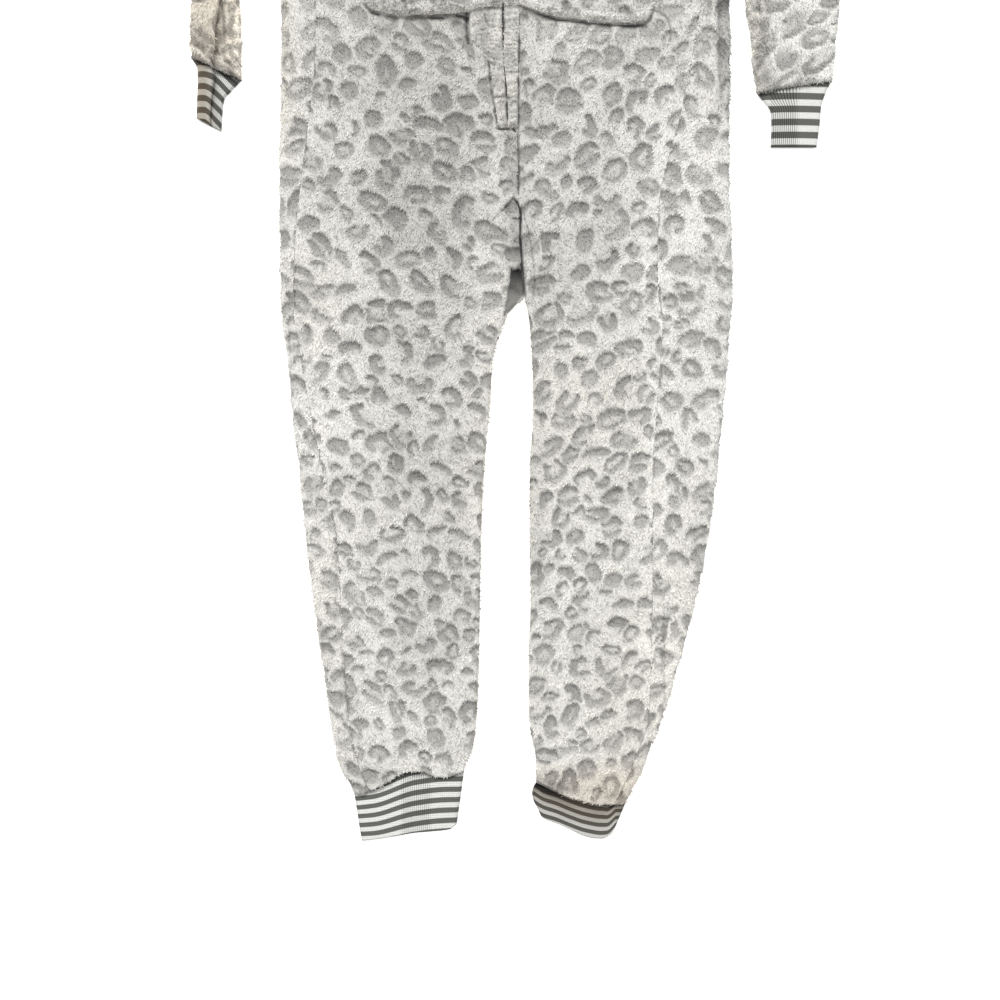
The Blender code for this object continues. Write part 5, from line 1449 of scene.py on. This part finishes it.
def makeCoilRow(name, side, tree):
    low, high = zipper["coilReach"]
    first = zipper["foot"] + 1.0 + (zipper["pitch"] / 2 if side > 0 else 0)
    y = np.arange(first, zipper["top"] - 1.0, zipper["pitch"])
    z = zipper["tapeZ"] + zipper["tapeWall"] + zipper["coilHeight"] / 2
    points = np.stack([zipSide(y, side) + side * (low + high) / 2, y, z + 0 * y], axis=1)
    coil = grow(name, placesMesh(name, points), tree,
                {"Width": ((high - low) / 2 - zipper["wire"]) * mm, "Height": (zipper["coilHeight"] / 2 - 0.3) * mm,
                 "Wire": zipper["wire"] * mm, "Slant": side * 0.14, "Nylon": coilNylon})
    return finishGrown(coil, coilNylon)


keep("zip_tape_right", "woven", makeTape, -1)
keep("zip_tape_left", "woven", makeTape, 1)
turns = turnTree()
coils = {"zip_tape_right": makeCoilRow("zip_coil_right", -1, turns),
         "zip_tape_left": makeCoilRow("zip_coil_left", 1, turns)}
report("zip")


# Sewing: topstitches round the neckline, along the pocket's hand openings and across the foot of the guards

sewing = {"stitch": 2.6, "pitch": 3.3, "thread": 0.34, "sunk": 0.05, "fromNeck": 6.0, "fromOpening": 8.0}


def stitchTree():
    tree, given = newTree("stitches", "Stitches", Places="Geometry", Length="Float", Thickness="Float",
                          Thread="Material")
    stitch = socket(tree, "GeometryNodeMeshUVSphere", {"Segments": 6, "Rings": 5, "Radius": 0.5})
    along = marked(tree, "along", "FLOAT_VECTOR")
    turned = socket(tree, "FunctionNodeAlignRotationToVector", {"Vector": along}, axis="Z")
    size = socket(tree, "ShaderNodeCombineXYZ", {"X": given["Thickness"], "Y": given["Thickness"],
                                                 "Z": given["Length"]})
    placed = socket(tree, "GeometryNodeInstanceOnPoints",
                    {"Points": given["Places"], "Instance": stitch, "Rotation": turned, "Scale": size})
    return finishTree(tree, "Stitches", placed, given["Thread"])


def stitchPlaces(piece, route):  # stitches along a route seen from above, laid on what the piece shows there
    route = np.array(route, float)
    length = np.concatenate([[0], np.cumsum(np.hypot(*np.diff(route, axis=0).T))])
    at = np.arange(sewing["pitch"] / 2, length[-1], sewing["pitch"])
    flat = np.stack([np.interp(at, length, route[:, 0]), np.interp(at, length, route[:, 1])], axis=1)
    points = []
    for x, y in (flat - originShift[:2]) * mm:
        hit, spot, _, _ = piece.ray_cast(Vector((x, y, 0.1)), Vector((0, 0, -1)))
        if hit:
            points.append(np.array(spot) / mm + originShift + (0, 0, -sewing["sunk"]))
    points = np.array(points)
    return points, unit(np.gradient(points, axis=0))


def neckRoute(side, curve):
    x = np.linspace(3.0 if curve is garment["frontNeck"] else 0.5, garment["neck"][0] - 5, 40)
    edge = np.stack([side * x, topEdge(x, curve)], axis=1)
    tangent = unit(np.gradient(edge, axis=0))
    away = np.stack([tangent[:, 1], -tangent[:, 0]], axis=1)
    away *= np.where(away[:, 1:] > 0, -1, 1)
    return edge + away * sewing["fromNeck"]


def openingRoute(side, hem):
    share = np.linspace(0.3, 0.97, 20)
    y = mixed(hem[-1][1], pockets["top"], share)
    reach = softCurve(pocketSide, share) * (hem[-1][0] - hem[0][0])
    return np.stack([zipColumn(y, "line") + side * pockets["clear"] + reach - side * sewing["fromOpening"], y], axis=1)


bpy.context.view_layer.update()
halves = ((-1, "right", rightPocketHem), (1, "left", leftPocketHem))
rows = [stitchPlaces(pieces["front_" + half], neckRoute(side, garment["frontNeck"])) for side, half, _ in halves]
rows += [stitchPlaces(pieces["back_" + half], neckRoute(side, garment["backNeck"])) for side, half, _ in halves]
rows += [stitchPlaces(pieces["pocket_" + half], openingRoute(side, hem)) for side, half, hem in halves]
rows.append(stitchPlaces(pieces["zip_guard_left"], [(1.5, -152.4), (12.4, -152.2)]))
places = placesMesh("places", *(np.concatenate(part) for part in zip(*rows)))
seams = grow("seam_topstitches", places, stitchTree(),
             {"Length": sewing["stitch"] * mm, "Thickness": 2 * sewing["thread"] * mm, "Thread": sewingThread})
finishGrown(seams, sewingThread)
report("sewing")


# Everything rides on the garment
for node, piece in pieces.items():
    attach(piece, "garment")
    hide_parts(node)
for piece in piles.values():
    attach(piece, "garment")
for piece in coils.values():
    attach(piece, "garment")
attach(seams, "garment")

# The zip's slider and its pull are nickel plated zinc
for node in ("zip_slider", "zip_pull"):
    part = bpy.data.objects[node]
    for slot in part.material_slots:
        slot.material = platedZinc

# The floor, the light and the camera
stage = {"floor": "#FBFBFA", "key": 2.55, "keySpread": 24.0, "keyHeight": 42.0, "fill": 0.56, "glow": 0.62,
         "lens": 70.0, "film": 36.0, "across": 1.2, "reach": 6, "drop": 0.0004, "target": (-0.0184, -0.3305, 0.011),
         "keySide": -0.12, "keyAway": 3.0}
mesh = bpy.data.meshes.new("floor")
mesh.from_pydata([(x * stage["reach"], y * stage["reach"], 0) for x, y in ((-1, -1), (1, -1), (1, 1), (-1, 1))],
                 [], [(0, 1, 2, 3)])
# A matt white board on a light table, which keeps the ground white under the cloth's edges
mesh.materials.append(makeMaterial("matt white board", Roughness=0.9, Base_Color=linear(stage["floor"]),
                                   Emission_Color=(1.0, 1.0, 1.0, 1.0), Emission_Strength=stage["glow"]))
floor = addObject("floor", mesh)
floor.location.z = -stage["drop"]  # just under the cloth

world = bpy.data.worlds.new("studio")
bpy.context.scene.world = world
world.use_nodes = True
world.node_tree.nodes["Background"].inputs[0].default_value = (1.0, 1.0, 1.0, 1.0)
world.node_tree.nodes["Background"].inputs[1].default_value = stage["fill"]

target = Vector(stage["target"])
angle = math.radians(stage["keyHeight"])
light = bpy.data.lights.new("key", "SUN")  # a wide soft light, as bright at the hem as at the neck
light.energy = stage["key"]
light.angle = math.radians(stage["keySpread"])
key = addObject("key", light)
key.location = target + Vector((stage["keySide"], math.cos(angle), math.sin(angle))) * stage["keyAway"]
key.rotation_euler = (target - key.location).to_track_quat("-Z", "Y").to_euler()

lens = bpy.data.cameras.new("camera")
lens.lens, lens.sensor_width = stage["lens"], stage["film"]
camera = addObject("camera", lens)
camera.location = target + Vector((0, 0, stage["across"] * stage["lens"] / stage["film"]))
bpy.context.scene.camera = camera
bpy.context.scene.view_settings.view_transform = "Standard"

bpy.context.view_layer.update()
report("all")
